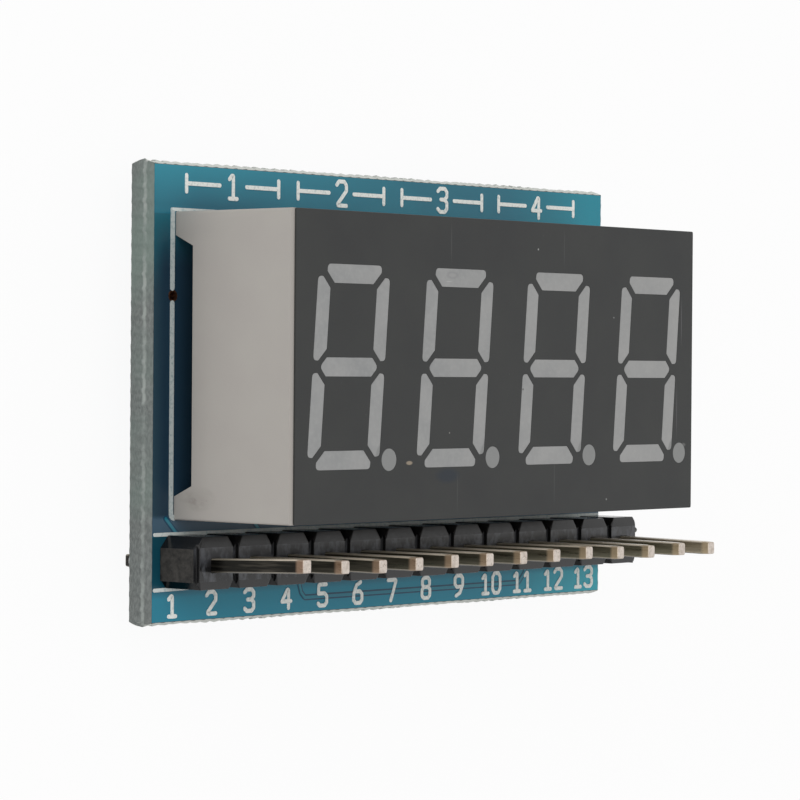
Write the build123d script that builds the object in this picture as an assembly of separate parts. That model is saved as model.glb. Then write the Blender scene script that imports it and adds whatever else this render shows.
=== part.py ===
from build123d import *
import math
import os

# A four-digit seven-segment LED display soldered to a carrier board with a row of header pins.
# Millimetres. +X runs along the header, +Y points to the title edge, +Z points out of the face.
# The module lies on its solder tails at Z = 0, and the origin is under the middle of its box.

# Pin header
pin_count = 13
pitch = 2.54
pin_size = 0.64
pin_tip_size = 0.56
pin_tip_length = 0.45
mating_length = 5.35
tail_protrusion = 1.85
insulator_height = 2.50
insulator_width = 2.50
notch_depth = 0.48
notch_half_width = 0.30
end_break = 0.30
crown_slot_width = 0.35
crown_slot_depth = 0.40
crown_bevel_run = 0.45
crown_bevel_drop = 0.28

# Carrier board, snapped out of a scored panel
board_thickness = 1.45
mask_thickness = 0.04
score_depth = 0.48
score_lean = 0.13
title_strip = 2.23
header_gap = 0.73
label_strip = 1.50
header_end_margin = 0.14
display_end_margin = 1.40
header_shift = 0.49
display_shift = -0.17
via_diameter = 0.45
via_edge_distance = 1.32
via_rise = 3.17

# Solder joints on the back
pad_sides = 8
pad_margin = 0.40
solder_waist = 0.16
solder_collar = 0.06
solder_flare_height = 0.32
solder_bare_tip = 0.40

# Digits: outlines are drawn upright, then leaned over
digit_count = 4
digit_height = 9.20
digit_width = 4.85
digit_space = 2.60
slant_angle = 4.6
segment_width = 0.85
segment_tip_width = 0.33
bar_corner_inset = 0.60
post_corner_inset = 0.56
bar_middle_inset = 0.47
post_middle_gap = 0.28
dot_diameter = 1.02
dot_gap = 0.17
dot_rise = 0.40

# Display housing and what is cast into it
face_end_margin = 0.10
face_side_margin = 2.40
face_thickness = 0.10
display_depth = 7.20
housing_wall = 0.90
housing_corner_radius = 0.10
foot_height = 1.10
foot_flat = 1.07
foot_slope = 0.50
potting_setback = 0.30
potting_thickness = 0.80
chip_board_thickness = 0.80
chip_board_clearance = 0.05
chip_size = 0.30
chip_height = 0.15
chip_clearance = 0.06
display_pin_size = 0.50
display_pins_per_row = 6
display_row_inset = 1.02

# Surface-mounted parts on the back
segment_resistor_count = 8
base_resistor_count = 4
resistor_length = 1.60
resistor_width = 0.80
resistor_height = 0.45
resistor_terminal = 0.30
transistor_count = 4
transistor_spacing = 5.08
transistor_length = 2.90
transistor_width = 1.30
transistor_height = 0.95
transistor_standoff = 0.08
transistor_draft = 0.06
lead_width = 0.40
lead_thickness = 0.12
lead_spacing = 0.95
lead_reach = 0.55
lead_foot = 0.35

# How far cutting shapes run past what they cut
overrun = 1.00

# Sizes that follow
header_length = pin_count * pitch
display_length = digit_count * (digit_width + digit_space) + 2 * face_end_margin
display_width = digit_height + 2 * face_side_margin
board_length = max(header_length + 2 * header_end_margin, display_length + 2 * display_end_margin)
board_width = title_strip + display_width + header_gap + insulator_width + label_strip
recess_length = display_length - 2 * housing_wall
recess_width = display_width - 2 * housing_wall
display_row_spacing = recess_width - 2 * display_row_inset
pin_half_diagonal = pin_size / math.sqrt(2)
display_pin_half_diagonal = display_pin_size / math.sqrt(2)
solder_height = tail_protrusion - solder_bare_tip
mask_lean = score_lean * mask_thickness / score_depth
slant_lean = math.tan(math.radians(slant_angle))

# Places that follow
header_overhang = max(0, header_shift + (header_length - board_length) / 2 - end_break)
board_x = -header_overhang / 2
header_x = board_x + header_shift
header_y = label_strip + insulator_width / 2 - board_width / 2
display_x = board_x + display_shift
display_y = board_width / 2 - title_strip - display_width / 2
display_row_y = display_y - display_row_spacing / 2
back_z = tail_protrusion
front_z = back_z + board_thickness
face_z = front_z + display_depth
wall_z = front_z + foot_height
potting_z = wall_z + potting_setback
chip_board_z = potting_z + potting_thickness
deck_z = chip_board_z + chip_board_thickness
deck_top_z = face_z - face_thickness

# Each bar's well narrows evenly from the face to the floor around its chip
well_depth = face_z - deck_z
well_inset = (segment_width - chip_size) / 2 - chip_clearance


def block(length, width, height, x, y, z):
    """A box centred on x and y, with its underside at z."""
    shape = Box(length, width, height, align=(Align.CENTER, Align.CENTER, Align.MIN))
    return Pos(x, y, z) * shape


def tapered(profile, depth, direction, inset):
    """Raises (1) or sinks (-1) a level profile while its flat walls draw in evenly by an inset."""
    prism = extrude(profile, amount=depth, dir=(0, 0, direction))
    walls = prism.faces().filter_by(Axis.Z, reverse=True)
    level = Plane.XY.offset(profile.face().center().Z)
    return draft(walls, level, direction * math.degrees(math.atan2(inset, depth)))


def group(solids):
    """Separate solids kept together as one node."""
    return Compound(children=list(solids))


def header_places():
    """Centres of the header pins, from the left end."""
    first = header_x - (pin_count - 1) / 2 * pitch
    return [(first + i * pitch, header_y) for i in range(pin_count)]


def display_pin_places():
    """Centres of the display pins: the lower row rightwards, then the upper row leftwards."""
    first = display_x - (display_pins_per_row - 1) / 2 * pitch
    row = [first + i * pitch for i in range(display_pins_per_row)]
    lower = [(x, display_row_y) for x in row]
    upper = [(x, display_row_y + display_row_spacing) for x in reversed(row)]
    return lower + upper


def digit_places():
    """Middle of each digit along X, from the left."""
    step = digit_width + digit_space
    first = display_x - (digit_count - 1) / 2 * step
    return [first + i * step for i in range(digit_count)]


def pierce(plate):
    """Opens a layer of the board for the via and, as far as its pins, for every soldered hole."""
    low_z = back_z - overrun
    depth = board_thickness + 2 * overrun
    cuts = [block(pin_size, pin_size, depth, x, y, low_z) for x, y in header_places()]
    for x, y in display_pin_places():
        cuts.append(block(display_pin_size, display_pin_size, depth, x, y, low_z))
    via_x = board_x - board_length / 2 + via_edge_distance
    via_z = back_z + board_thickness / 2
    cuts.append(Pos(via_x, display_y + via_rise, via_z) * Cylinder(via_diameter / 2, depth))
    return plate - cuts


def make_laminate():
    """Glass laminate: a snapped web between two leaning flanks, all round."""
    outline = Rectangle(board_length, board_width)
    web_low = Pos(board_x, 0, back_z + score_depth) * outline
    web_high = Pos(board_x, 0, front_z - score_depth) * outline
    laminate = extrude(web_low, amount=board_thickness - 2 * score_depth)
    laminate += tapered(web_high, score_depth - mask_thickness, 1, score_lean - mask_lean)
    laminate += tapered(web_low, score_depth - mask_thickness, -1, score_lean - mask_lean)
    return pierce(laminate)


def make_mask(z, direction):
    """Coat of solder mask on one side of the laminate, cut off by the same scoring."""
    inset = score_lean - mask_lean
    outline = Rectangle(board_length - 2 * inset, board_width - 2 * inset)
    return pierce(tapered(Pos(board_x, 0, z) * outline, mask_thickness, direction, mask_lean))


def make_insulator():
    """One moulded strip of joined octagons, slotted and bevelled, and broken off short at its right end."""
    half = insulator_width / 2
    left = header_x - header_length / 2
    edge = [(left, half - notch_depth)]
    for i in range(pin_count):
        start = left + i * pitch
        edge.append((start + notch_half_width, half))
        edge.append((start + pitch - notch_half_width, half))
        edge.append((start + pitch, half - notch_depth))
    outline = edge + [(x, -y) for x, y in reversed(edge)]
    plan = Pos(0, header_y, front_z) * Polygon(*outline, align=None)
    strip = extrude(plan, amount=insulator_height, dir=(0, 0, 1))
    crown_z = front_z + insulator_height
    slots = []
    slot_height = crown_slot_depth + overrun
    for i in range(pin_count + 1):
        slot = block(crown_slot_width, insulator_width + overrun, slot_height, left + i * pitch, header_y, 0)
        slots.append(Pos(0, 0, crown_z - crown_slot_depth) * slot)
    bevels = []
    for side in (1, -1):
        rise = overrun * crown_bevel_drop / crown_bevel_run
        wedge = Polygon(
            (side * (half - crown_bevel_run - overrun), crown_z + rise),
            (side * (half + overrun), crown_z + rise),
            (side * (half + overrun), crown_z - crown_bevel_drop - rise),
            align=None,
        )
        profile = Plane(origin=(left, header_y, 0), x_dir=(0, 1, 0), z_dir=(1, 0, 0)) * wedge
        bevels.append(extrude(profile, amount=header_length, dir=(1, 0, 0)))
    bores = []
    for x, y in header_places():
        bores.append(block(pin_size, pin_size, insulator_height + 2 * overrun, x, y, front_z - overrun))
    break_length = end_break + overrun
    right = left + header_length + overrun - break_length / 2
    broken = block(break_length, insulator_width + overrun, insulator_height + 2 * overrun, right, header_y, 0)
    return strip - slots - bevels - bores - Pos(0, 0, front_z - overrun) * broken


def square_pin(size, high_z, pointed_top, x, y):
    """A square wire pin with its tail, and its top if asked, drawn to a blunt point."""
    section = Pos(x, y, pin_tip_length) * Rectangle(size, size)
    straight = high_z - pin_tip_length
    inset = (pin_size - pin_tip_size) / 2
    pin = tapered(section, pin_tip_length, -1, inset)
    if pointed_top:
        straight -= pin_tip_length
        pin += tapered(Pos(0, 0, straight) * section, pin_tip_length, 1, inset)
    return pin + extrude(section, amount=straight)


def solder_joint(size, half_diagonal, x, y):
    """Solder that flares onto the pad and climbs the pin's tail to a thin collar."""
    pad_radius = half_diagonal + pad_margin
    waist_radius = half_diagonal + solder_waist
    waist_z = back_z - solder_flare_height
    pad = Pos(x, y, back_z) * RegularPolygon(pad_radius, pad_sides, major_radius=False)
    waist = Pos(x, y, waist_z) * RegularPolygon(waist_radius, pad_sides, major_radius=False)
    joint = tapered(pad, solder_flare_height, -1, pad_margin - solder_waist)
    joint += tapered(waist, solder_height - solder_flare_height, -1, solder_waist - solder_collar)
    return joint - block(size, size, solder_height + 2 * overrun, x, y, back_z - solder_height - overrun)


def segment_outlines():
    """Outlines of a digit's seven bars about its middle, leaned over by the slant."""
    side = digit_width / 2
    top = digit_height / 2
    half = segment_width / 2
    cut = segment_width - segment_tip_width
    tip_x = side - bar_corner_inset
    middle_x = side - bar_middle_inset
    tip_y = top - post_corner_inset
    upper_bar = [
        (-tip_x, top),
        (tip_x, top),
        (tip_x, top - segment_tip_width),
        (tip_x - cut, top - segment_width),
        (cut - tip_x, top - segment_width),
        (-tip_x, top - segment_tip_width),
    ]
    middle_bar = [
        (-middle_x, 0),
        (half - middle_x, half),
        (middle_x - half, half),
        (middle_x, 0),
        (middle_x - half, -half),
        (half - middle_x, -half),
    ]
    upper_post = [
        (side, tip_y),
        (side - segment_tip_width, tip_y),
        (side - segment_width, tip_y - cut),
        (side - segment_width, post_middle_gap + cut),
        (side - segment_tip_width, post_middle_gap),
        (side, post_middle_gap),
    ]
    upright = [
        upper_bar,
        upper_post,
        [(x, -y) for x, y in upper_post],
        [(x, -y) for x, y in upper_bar],
        [(-x, -y) for x, y in upper_post],
        [(-x, y) for x, y in upper_post],
        middle_bar,
    ]
    return [[(x + y * slant_lean, y) for x, y in points] for points in upright]


def dot_place():
    """Middle of the decimal point beside a digit."""
    y = dot_rise - digit_height / 2
    x = digit_width / 2 + dot_gap + dot_diameter / 2
    return x + y * slant_lean, y


def segment_wells(digit_x, floor_z):
    """The seven tapered bars of a digit and its round dot, from the face down to a floor."""
    place = Pos(digit_x, display_y, face_z)
    bars = [place * Polygon(*points, align=None) for points in segment_outlines()]
    dot = place * Pos(*dot_place()) * Circle(dot_diameter / 2)
    depth = face_z - floor_z
    wells = [tapered(bar, depth, -1, well_inset * depth / well_depth) for bar in bars]
    wells.append(extrude(dot, amount=depth, dir=(0, 0, -1)))
    return wells


def all_wells(floor_z):
    """The wells of every digit."""
    return [well for digit_x in digit_places() for well in segment_wells(digit_x, floor_z)]


def make_reflector():
    """Moulded housing: end walls with corner feet, a rear recess and a well for each segment."""
    height = deck_top_z - wall_z
    shell = block(display_length, display_width, height, display_x, display_y, wall_z)
    half = display_width / 2
    for side in (1, -1):
        foot = Polygon(
            (side * half, front_z),
            (side * (half - foot_flat), front_z),
            (side * (half - foot_flat - foot_slope), wall_z),
            (side * half, wall_z),
            align=None,
        )
        for start in (-display_length / 2, display_length / 2 - housing_wall):
            origin = (display_x + start, display_y, 0)
            profile = Plane(origin=origin, x_dir=(0, 1, 0), z_dir=(1, 0, 0)) * foot
            shell += extrude(profile, amount=housing_wall, dir=(1, 0, 0))
    corners = [
        edge
        for edge in shell.edges().filter_by(Axis.Z)
        if edge.length > height
    ]
    shell = fillet(corners, housing_corner_radius)
    recess_height = deck_z - wall_z
    shell -= block(recess_length, recess_width, recess_height, display_x, display_y, wall_z)
    return shell - all_wells(deck_z)


def make_face():
    """The dark printed face, open at every segment."""
    face = block(display_length, display_width, face_thickness, display_x, display_y, deck_top_z)
    face = fillet(face.edges().filter_by(Axis.Z), housing_corner_radius)
    return face - all_wells(deck_z)


def make_segments(digit_x):
    """Milky resin that fills a digit's wells, down to the tops of its chips."""
    return group(segment_wells(digit_x, deck_z + chip_height))


def chip_places():
    """Middle of each LED chip: under every bar and dot of every digit."""
    middles = [dot_place()]
    for points in segment_outlines():
        middles.append((sum(x for x, _ in points) / len(points), sum(y for _, y in points) / len(points)))
    return [(digit_x + x, display_y + y) for digit_x in digit_places() for x, y in middles]


def make_chips():
    """The LED chips, bonded to the display's own board on the floors of the wells."""
    return group(block(chip_size, chip_size, chip_height, x, y, deck_z) for x, y in chip_places())


def pierced_plate(length, width, thickness, z):
    """A plate inside the display's recess with a square hole for every display pin."""
    plate = block(length, width, thickness, display_x, display_y, z)
    depth = thickness + 2 * overrun
    size = display_pin_size
    return plate - [block(size, size, depth, x, y, z - overrun) for x, y in display_pin_places()]


def make_chip_board():
    """The display's own small board, which carries the chips and holds the pins."""
    length = recess_length - 2 * chip_board_clearance
    width = recess_width - 2 * chip_board_clearance
    return pierced_plate(length, width, chip_board_thickness, chip_board_z)


def make_potting():
    """Resin cast behind the display's own board."""
    return pierced_plate(recess_length, recess_width, potting_thickness, potting_z)


def on_back(shape, x, y):
    """Turns a part that was built on Z = 0 over, and seats it on the back of the board."""
    return Pos(x, y, back_z) * Rot(180, 0, 0) * shape


def make_transistor_body():
    """A small moulded package whose walls draft away from the parting line."""
    section = Rectangle(transistor_length, transistor_width)
    half_height = transistor_height / 2
    parting = Pos(0, 0, transistor_standoff + half_height) * section
    halves = [tapered(parting, half_height, direction, transistor_draft) for direction in (1, -1)]
    return halves[0] + halves[1]


def make_lead(x, side):
    """A gull-wing lead from the package's parting line down to its pad."""
    shoulder = transistor_standoff + transistor_height / 2 - lead_thickness / 2
    knee = lead_reach - lead_foot
    wing = [
        (0, shoulder + lead_thickness),
        (knee, shoulder + lead_thickness),
        (knee, lead_thickness),
        (lead_reach, lead_thickness),
        (lead_reach, 0),
        (knee - lead_thickness, 0),
        (knee - lead_thickness, shoulder),
        (0, shoulder),
    ]
    points = [(side * (transistor_width / 2 + u), v) for u, v in wing]
    plane = Plane(origin=(x - lead_width / 2, 0, 0), x_dir=(0, 1, 0), z_dir=(1, 0, 0))
    return extrude(plane * Polygon(*points, align=None), amount=lead_width, dir=(1, 0, 0))


def make_leads():
    """The single lead on one side of a package and the pair on the other."""
    return [make_lead(0, 1), make_lead(-lead_spacing, -1), make_lead(lead_spacing, -1)]


def transistor_places():
    """Middles of the transistors, in a row behind the display."""
    first = display_x - (transistor_count - 1) / 2 * transistor_spacing
    return [(first + i * transistor_spacing, display_y) for i in range(transistor_count)]


def resistor_places():
    """Middles of the chip resistors, one above each header pin but the supply pin."""
    y = (header_y + display_row_y) / 2
    return [(x, y) for x, _ in header_places()[-(base_resistor_count + segment_resistor_count):]]


def make_resistor():
    """The ceramic body of a chip resistor, between its end terminals."""
    return block(resistor_width, resistor_length - 2 * resistor_terminal, resistor_height, 0, 0, 0)


def make_terminals():
    """The two end terminals of a chip resistor."""
    y = (resistor_length - resistor_terminal) / 2
    return [block(resistor_width, resistor_terminal, resistor_height, 0, side * y, 0) for side in (1, -1)]


def make_nodes():
    """Every piece of the module by its node name."""
    pin_top = front_z + insulator_height + mating_length
    header = header_places()
    display = display_pin_places()
    nodes = {
        "board_laminate": make_laminate(),
        "solder_mask_front": make_mask(front_z - mask_thickness, 1),
        "solder_mask_back": make_mask(back_z + mask_thickness, -1),
        "header_insulator": make_insulator(),
    }
    for i, (x, y) in enumerate(header, 1):
        nodes[f"header_pin_{i:02d}"] = square_pin(pin_size, pin_top, True, x, y)
    nodes["header_solder"] = group(solder_joint(pin_size, pin_half_diagonal, x, y) for x, y in header)
    nodes["display_reflector"] = make_reflector()
    nodes["display_face"] = make_face()
    for i, digit_x in enumerate(digit_places(), 1):
        nodes[f"digit_{i}_segments"] = make_segments(digit_x)
    nodes["led_chips"] = make_chips()
    nodes["display_chip_board"] = make_chip_board()
    nodes["display_potting"] = make_potting()
    for i, (x, y) in enumerate(display, 1):
        nodes[f"display_pin_{i:02d}"] = square_pin(display_pin_size, deck_z, False, x, y)
    nodes["display_solder"] = group(
        solder_joint(display_pin_size, display_pin_half_diagonal, x, y) for x, y in display
    )
    leads = []
    for i, (x, y) in enumerate(transistor_places(), 1):
        nodes[f"digit_transistor_{i}"] = on_back(make_transistor_body(), x, y)
        leads += [on_back(lead, x, y) for lead in make_leads()]
    nodes["transistor_leads"] = group(leads)
    terminals = []
    for i, (x, y) in enumerate(resistor_places()):
        name = f"base_resistor_{i + 1}"
        if i >= base_resistor_count:
            name = f"segment_resistor_{i - base_resistor_count + 1}"
        nodes[name] = on_back(make_resistor(), x, y)
        terminals += [on_back(terminal, x, y) for terminal in make_terminals()]
    nodes["resistor_terminals"] = group(terminals)
    return nodes


os.makedirs("parts", exist_ok=True)
for name, shape in make_nodes().items():
    export_step(shape, f"parts/{name}.step")
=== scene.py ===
"""Dresses a seven segment display module: a four-digit display on a carrier board with a pin header.

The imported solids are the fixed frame. Sizes here are in millimetres, in the frame's own axes: +X along
the pin header, +Y to the edge above the display and +Z out of the display's face. Points become metres
as they are put into a mesh.
"""

import logging
import math
from collections.abc import Iterable, Sequence
from dataclasses import dataclass
from enum import Enum
from typing import Any

import bmesh
import bpy
from mathutils import Euler, Matrix, Vector, noise


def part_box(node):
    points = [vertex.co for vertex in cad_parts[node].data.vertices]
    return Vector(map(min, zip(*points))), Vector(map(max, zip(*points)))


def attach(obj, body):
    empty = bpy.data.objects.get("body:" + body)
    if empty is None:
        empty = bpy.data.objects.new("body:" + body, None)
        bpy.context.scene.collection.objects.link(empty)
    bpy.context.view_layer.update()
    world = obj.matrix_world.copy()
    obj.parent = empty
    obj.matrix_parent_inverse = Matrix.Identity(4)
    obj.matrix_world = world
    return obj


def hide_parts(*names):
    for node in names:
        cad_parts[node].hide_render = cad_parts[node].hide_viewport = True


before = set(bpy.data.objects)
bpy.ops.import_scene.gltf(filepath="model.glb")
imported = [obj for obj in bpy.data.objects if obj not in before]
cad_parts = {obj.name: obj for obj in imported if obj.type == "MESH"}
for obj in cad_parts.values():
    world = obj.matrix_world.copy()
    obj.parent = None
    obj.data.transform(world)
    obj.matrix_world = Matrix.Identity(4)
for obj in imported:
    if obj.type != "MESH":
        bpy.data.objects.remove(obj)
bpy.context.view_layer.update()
LOG = logging.getLogger("display_module")
MM = 0.001
ROOT = "root"

Colour = tuple[float, float, float]
Flat = tuple[float, float]
Socket = bpy.types.NodeSocket


class Side(Enum):
    """The two sides of the carrier board, by the way that each looks along Z."""

    FRONT = 1
    BACK = -1


class Layer(Enum):
    """What lies on the board, by its thickness; a quarter of it sinks into the solder mask."""

    GAP = 0.008
    TRACK = 0.024
    SILK = 0.04


# Single-stroke numerals in a box 0.6 wide and 1 high; a path that ends where it starts is closed
NUMERALS: dict[str, tuple[tuple[Flat, ...], ...]] = {
    "0": (
        ((0.15, 0), (0.45, 0), (0.6, 0.2), (0.6, 0.8), (0.45, 1), (0.15, 1), (0, 0.8), (0, 0.2), (0.15, 0)),
    ),
    "1": (((0.08, 0.78), (0.3, 1), (0.3, 0)), ((0.08, 0), (0.52, 0))),
    "2": (((0, 0.85), (0.14, 1), (0.46, 1), (0.6, 0.85), (0.6, 0.62), (0, 0), (0.6, 0)),),
    "3": (
        ((0, 0.88), (0.14, 1), (0.46, 1), (0.6, 0.86), (0.6, 0.66), (0.44, 0.53), (0.2, 0.53)),
        ((0.44, 0.53), (0.6, 0.4), (0.6, 0.14), (0.46, 0), (0.14, 0), (0, 0.12)),
    ),
    "4": (((0.46, 0), (0.46, 1), (0, 0.32)), ((0, 0.32), (0.62, 0.32))),
    "5": (
        ((0.56, 1), (0.04, 1), (0.02, 0.58)),
        ((0.02, 0.58), (0.44, 0.58), (0.6, 0.44), (0.6, 0.14), (0.46, 0), (0.12, 0), (0, 0.1)),
    ),
    "6": (
        ((0.5, 1), (0.2, 0.86), (0, 0.46), (0, 0.14), (0.14, 0), (0.46, 0), (0.6, 0.14), (0.6, 0.42)),
        ((0.6, 0.42), (0.46, 0.56), (0.06, 0.56)),
    ),
    "7": (((0, 1), (0.6, 1), (0.2, 0)),),
    "8": (
        (
            *((0.14, 0.54), (0, 0.42), (0, 0.13), (0.14, 0)),
            *((0.46, 0), (0.6, 0.13), (0.6, 0.42), (0.46, 0.54), (0.14, 0.54)),
        ),
        (
            *((0.14, 0.54), (0.03, 0.66), (0.03, 0.88), (0.15, 1)),
            *((0.45, 1), (0.57, 0.88), (0.57, 0.66), (0.46, 0.54)),
        ),
    ),
    "9": (
        ((0.1, 0), (0.4, 0.14), (0.6, 0.54), (0.6, 0.86), (0.46, 1), (0.14, 1), (0, 0.86), (0, 0.58)),
        ((0, 0.58), (0.14, 0.44), (0.54, 0.44)),
    ),
}


def linear(colour: Colour) -> tuple[float, float, float, float]:
    """A colour written as it shows on a screen, from 0 to 255, as linear light.

    Args:
        colour: red, green and blue as they show on a screen.

    Returns:
        The same colour as a shader takes it, opaque.
    """
    shares = [part / 255 for part in colour]
    return (*(s / 12.92 if s <= 0.04045 else ((s + 0.055) / 1.055) ** 2.4 for s in shares), 1.0)


@dataclass(frozen=True)
class Box:
    """The lowest and highest corner of some nodes, in millimetres."""

    low: Vector
    high: Vector

    @classmethod
    def of(cls, *nodes: str) -> "Box":
        """The box around the named nodes."""
        corners = [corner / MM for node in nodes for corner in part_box(node)]
        axes = list(zip(*corners))
        return cls(Vector([min(axis) for axis in axes]), Vector([max(axis) for axis in axes]))

    @property
    def centre(self) -> Vector:
        """The middle of the box."""
        return (self.low + self.high) / 2

    @property
    def size(self) -> Vector:
        """The lengths of the box's sides."""
        return self.high - self.low


# Finishes


class Shade:
    """A material with one principled shader, built up node by node."""

    MIX_SHARE, MIX_FIRST, MIX_SECOND, MIX_RESULT = 0, 6, 7, 2

    def __init__(self, name: str) -> None:
        """Starts a material.

        Args:
            name: the material's name.
        """
        self.material = bpy.data.materials.new(name)
        self.material.use_nodes = True
        self.tree = self.material.node_tree
        self.shader = self.tree.nodes["Principled BSDF"]
        self.place = self.add("ShaderNodeTexCoord").outputs["Object"]

    def add(self, kind: str, inputs: dict[Any, Any] | None = None, **settings: Any) -> bpy.types.Node:
        """Adds a node.

        Args:
            kind: the node's type.
            inputs: what goes into its sockets, as values or as other nodes' sockets.
            settings: the node's own properties.

        Returns:
            The new node.
        """
        node = self.tree.nodes.new(kind)
        for name, value in settings.items():
            setattr(node, name, value)
        for key, value in (inputs or {}).items():
            self.feed(node.inputs[key], value)
        return node

    def feed(self, socket: Socket, value: Any) -> None:
        """Links a socket to another one, or sets its value."""
        if isinstance(value, bpy.types.NodeSocket):
            self.tree.links.new(value, socket)
        else:
            socket.default_value = value

    def surface(self, **values: Any) -> None:
        """Sets the shader's sockets, named in lower case with underscores."""
        for name, value in values.items():
            words = name.replace("_", " ").title().replace("Ior", "IOR")
            self.feed(self.shader.inputs[words], value)

    def scaled(self, grain: float, stretch: Sequence[float] = (1, 1, 1)) -> Socket:
        """The surface's own coordinates, counted in grains of a size in millimetres."""
        scale = [share / (grain * MM) for share in stretch]
        return self.add("ShaderNodeMapping", {"Vector": self.place, "Scale": scale}).outputs[0]

    def noise(self, grain: float, stretch: Sequence[float] = (1, 1, 1), detail: float = 3.0) -> Socket:
        """Smooth noise.

        Args:
            grain: the size of its largest lumps in millimetres.
            stretch: how much finer it is along each axis.
            detail: how many finer layers it has.

        Returns:
            A value around one half.
        """
        inputs = {"Vector": self.scaled(grain, stretch), "Scale": 1.0, "Detail": detail}
        return self.add("ShaderNodeTexNoise", inputs).outputs[0]

    def axis(self, name: str) -> Socket:
        """One coordinate of the surface, in metres."""
        return self.add("ShaderNodeSeparateXYZ", {0: self.place}).outputs[name]

    def facing(self, name: str) -> Socket:
        """One component of the surface's own normal."""
        normal = self.add("ShaderNodeNewGeometry").outputs["Normal"]
        return self.add("ShaderNodeSeparateXYZ", {0: normal}).outputs[name]

    def remap(
        self,
        value: Socket,
        low: float,
        high: float,
        to_low: float = 0.0,
        to_high: float = 1.0,
    ) -> Socket:
        """Stretches a range of values to another, with both ends held."""
        inputs = {"Value": value, "From Min": low, "From Max": high, "To Min": to_low, "To Max": to_high}
        return self.add("ShaderNodeMapRange", inputs).outputs[0]

    def sum(self, operation: str, first: Any, second: Any) -> Socket:
        """Works out one value from two."""
        return self.add("ShaderNodeMath", {0: first, 1: second}, operation=operation).outputs[0]

    def mix(self, share: Any, first: Any, second: Any) -> Socket:
        """Blends from one colour to another.

        Args:
            share: how much of the second shows, from 0 to 1.
            first: a socket, or a colour as it shows on a screen.
            second: the same.

        Returns:
            The blended colour.
        """
        inputs = {self.MIX_SHARE: share}
        for key, colour in ((self.MIX_FIRST, first), (self.MIX_SECOND, second)):
            inputs[key] = colour if isinstance(colour, bpy.types.NodeSocket) else linear(colour)
        return self.add("ShaderNodeMix", inputs, data_type="RGBA").outputs[self.MIX_RESULT]

    def spot(self, centre: Sequence[float], radii: Sequence[float], soft: float = 0.5) -> Socket:
        """A soft-edged spot.

        Args:
            centre: its middle in millimetres.
            radii: how far it reaches along each axis, in millimetres.
            soft: the share of that reach over which it fades.

        Returns:
            1 in the spot and 0 outside it.
        """
        scale = [1 / (radius * MM) for radius in radii]
        shift = [-place / radius for place, radius in zip(centre, radii)]
        inputs = {"Vector": self.place, "Location": shift, "Scale": scale}
        moved = self.add("ShaderNodeMapping", inputs).outputs[0]
        reach = self.add("ShaderNodeVectorMath", {0: moved}, operation="LENGTH").outputs["Value"]
        return self.remap(reach, 1.0, 1.0 - soft)

    def relief(self, height: Socket, depth: float) -> None:
        """Lets a height of 0 to 1 roughen the surface by a depth in millimetres."""
        inputs = {"Height": height, "Distance": depth * MM, "Strength": 1.0}
        self.feed(self.shader.inputs["Normal"], self.add("ShaderNodeBump", inputs).outputs[0])


@dataclass(frozen=True)
class Finish:
    """How a surface looks."""

    name: str

    def paint(self, shade: Shade) -> None:
        """Builds the finish's nodes."""
        raise NotImplementedError

    def material(self) -> bpy.types.Material:
        """The finish as a material, made once."""
        title = f"{self.name}_finish"
        made = bpy.data.materials.get(title)
        if made is None:
            shade = Shade(title)
            self.paint(shade)
            made = shade.material
        return made


@dataclass(frozen=True)
class Moulding(Finish):
    """Matte moulded plastic with faint clouds, a fine grain and flow marks along one axis."""

    colour: Colour = (60, 60, 62)
    cloud: Colour = (70, 70, 73)
    cloud_grain: float = 2.5
    grain: float = 0.06
    flow: tuple[float, float, float] = (1, 1, 1)
    depth: float = 0.003
    roughness: float = 0.5
    specular: float = 0.25

    def tone(self, shade: Shade) -> Socket:
        """The plastic's colour, in clouds."""
        clouds = shade.remap(shade.noise(self.cloud_grain, detail=4), 0.3, 0.7)
        return shade.mix(clouds, self.colour, self.cloud)

    def paint(self, shade: Shade) -> None:
        """Clouds of colour, with a grain that also changes the gloss."""
        grain = shade.noise(self.grain, self.flow)
        gloss = shade.remap(grain, 0.3, 0.7, self.roughness - 0.08, self.roughness + 0.1)
        shade.surface(base_color=self.tone(shade), roughness=gloss, specular_ior_level=self.specular)
        shade.relief(grain, self.depth)


@dataclass(frozen=True)
class DisplaySide(Moulding):
    """The display's pale housing, with a bare front rim and a grey smudge above its lower foot."""

    rim: Colour = (174, 169, 163)
    smudge: Colour = (120, 113, 106)
    smudge_at: tuple[float, float, float] = (0, 0, 0)
    smudge_reach: tuple[float, float, float] = (0.6, 0.62, 1.25)

    def tone(self, shade: Shade) -> Socket:
        """The moulding's colour under the smudge, and clean on the front rim."""
        patch = shade.spot(self.smudge_at, self.smudge_reach, 0.9)
        broken = shade.sum("MULTIPLY", patch, shade.remap(shade.noise(0.3, (1, 1, 0.5)), 0.45, 0.7, 0.2, 0.7))
        side = shade.mix(broken, super().tone(shade), self.smudge)
        return shade.mix(shade.remap(shade.facing("Z"), 0.25, 0.6), side, self.rim)


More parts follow.
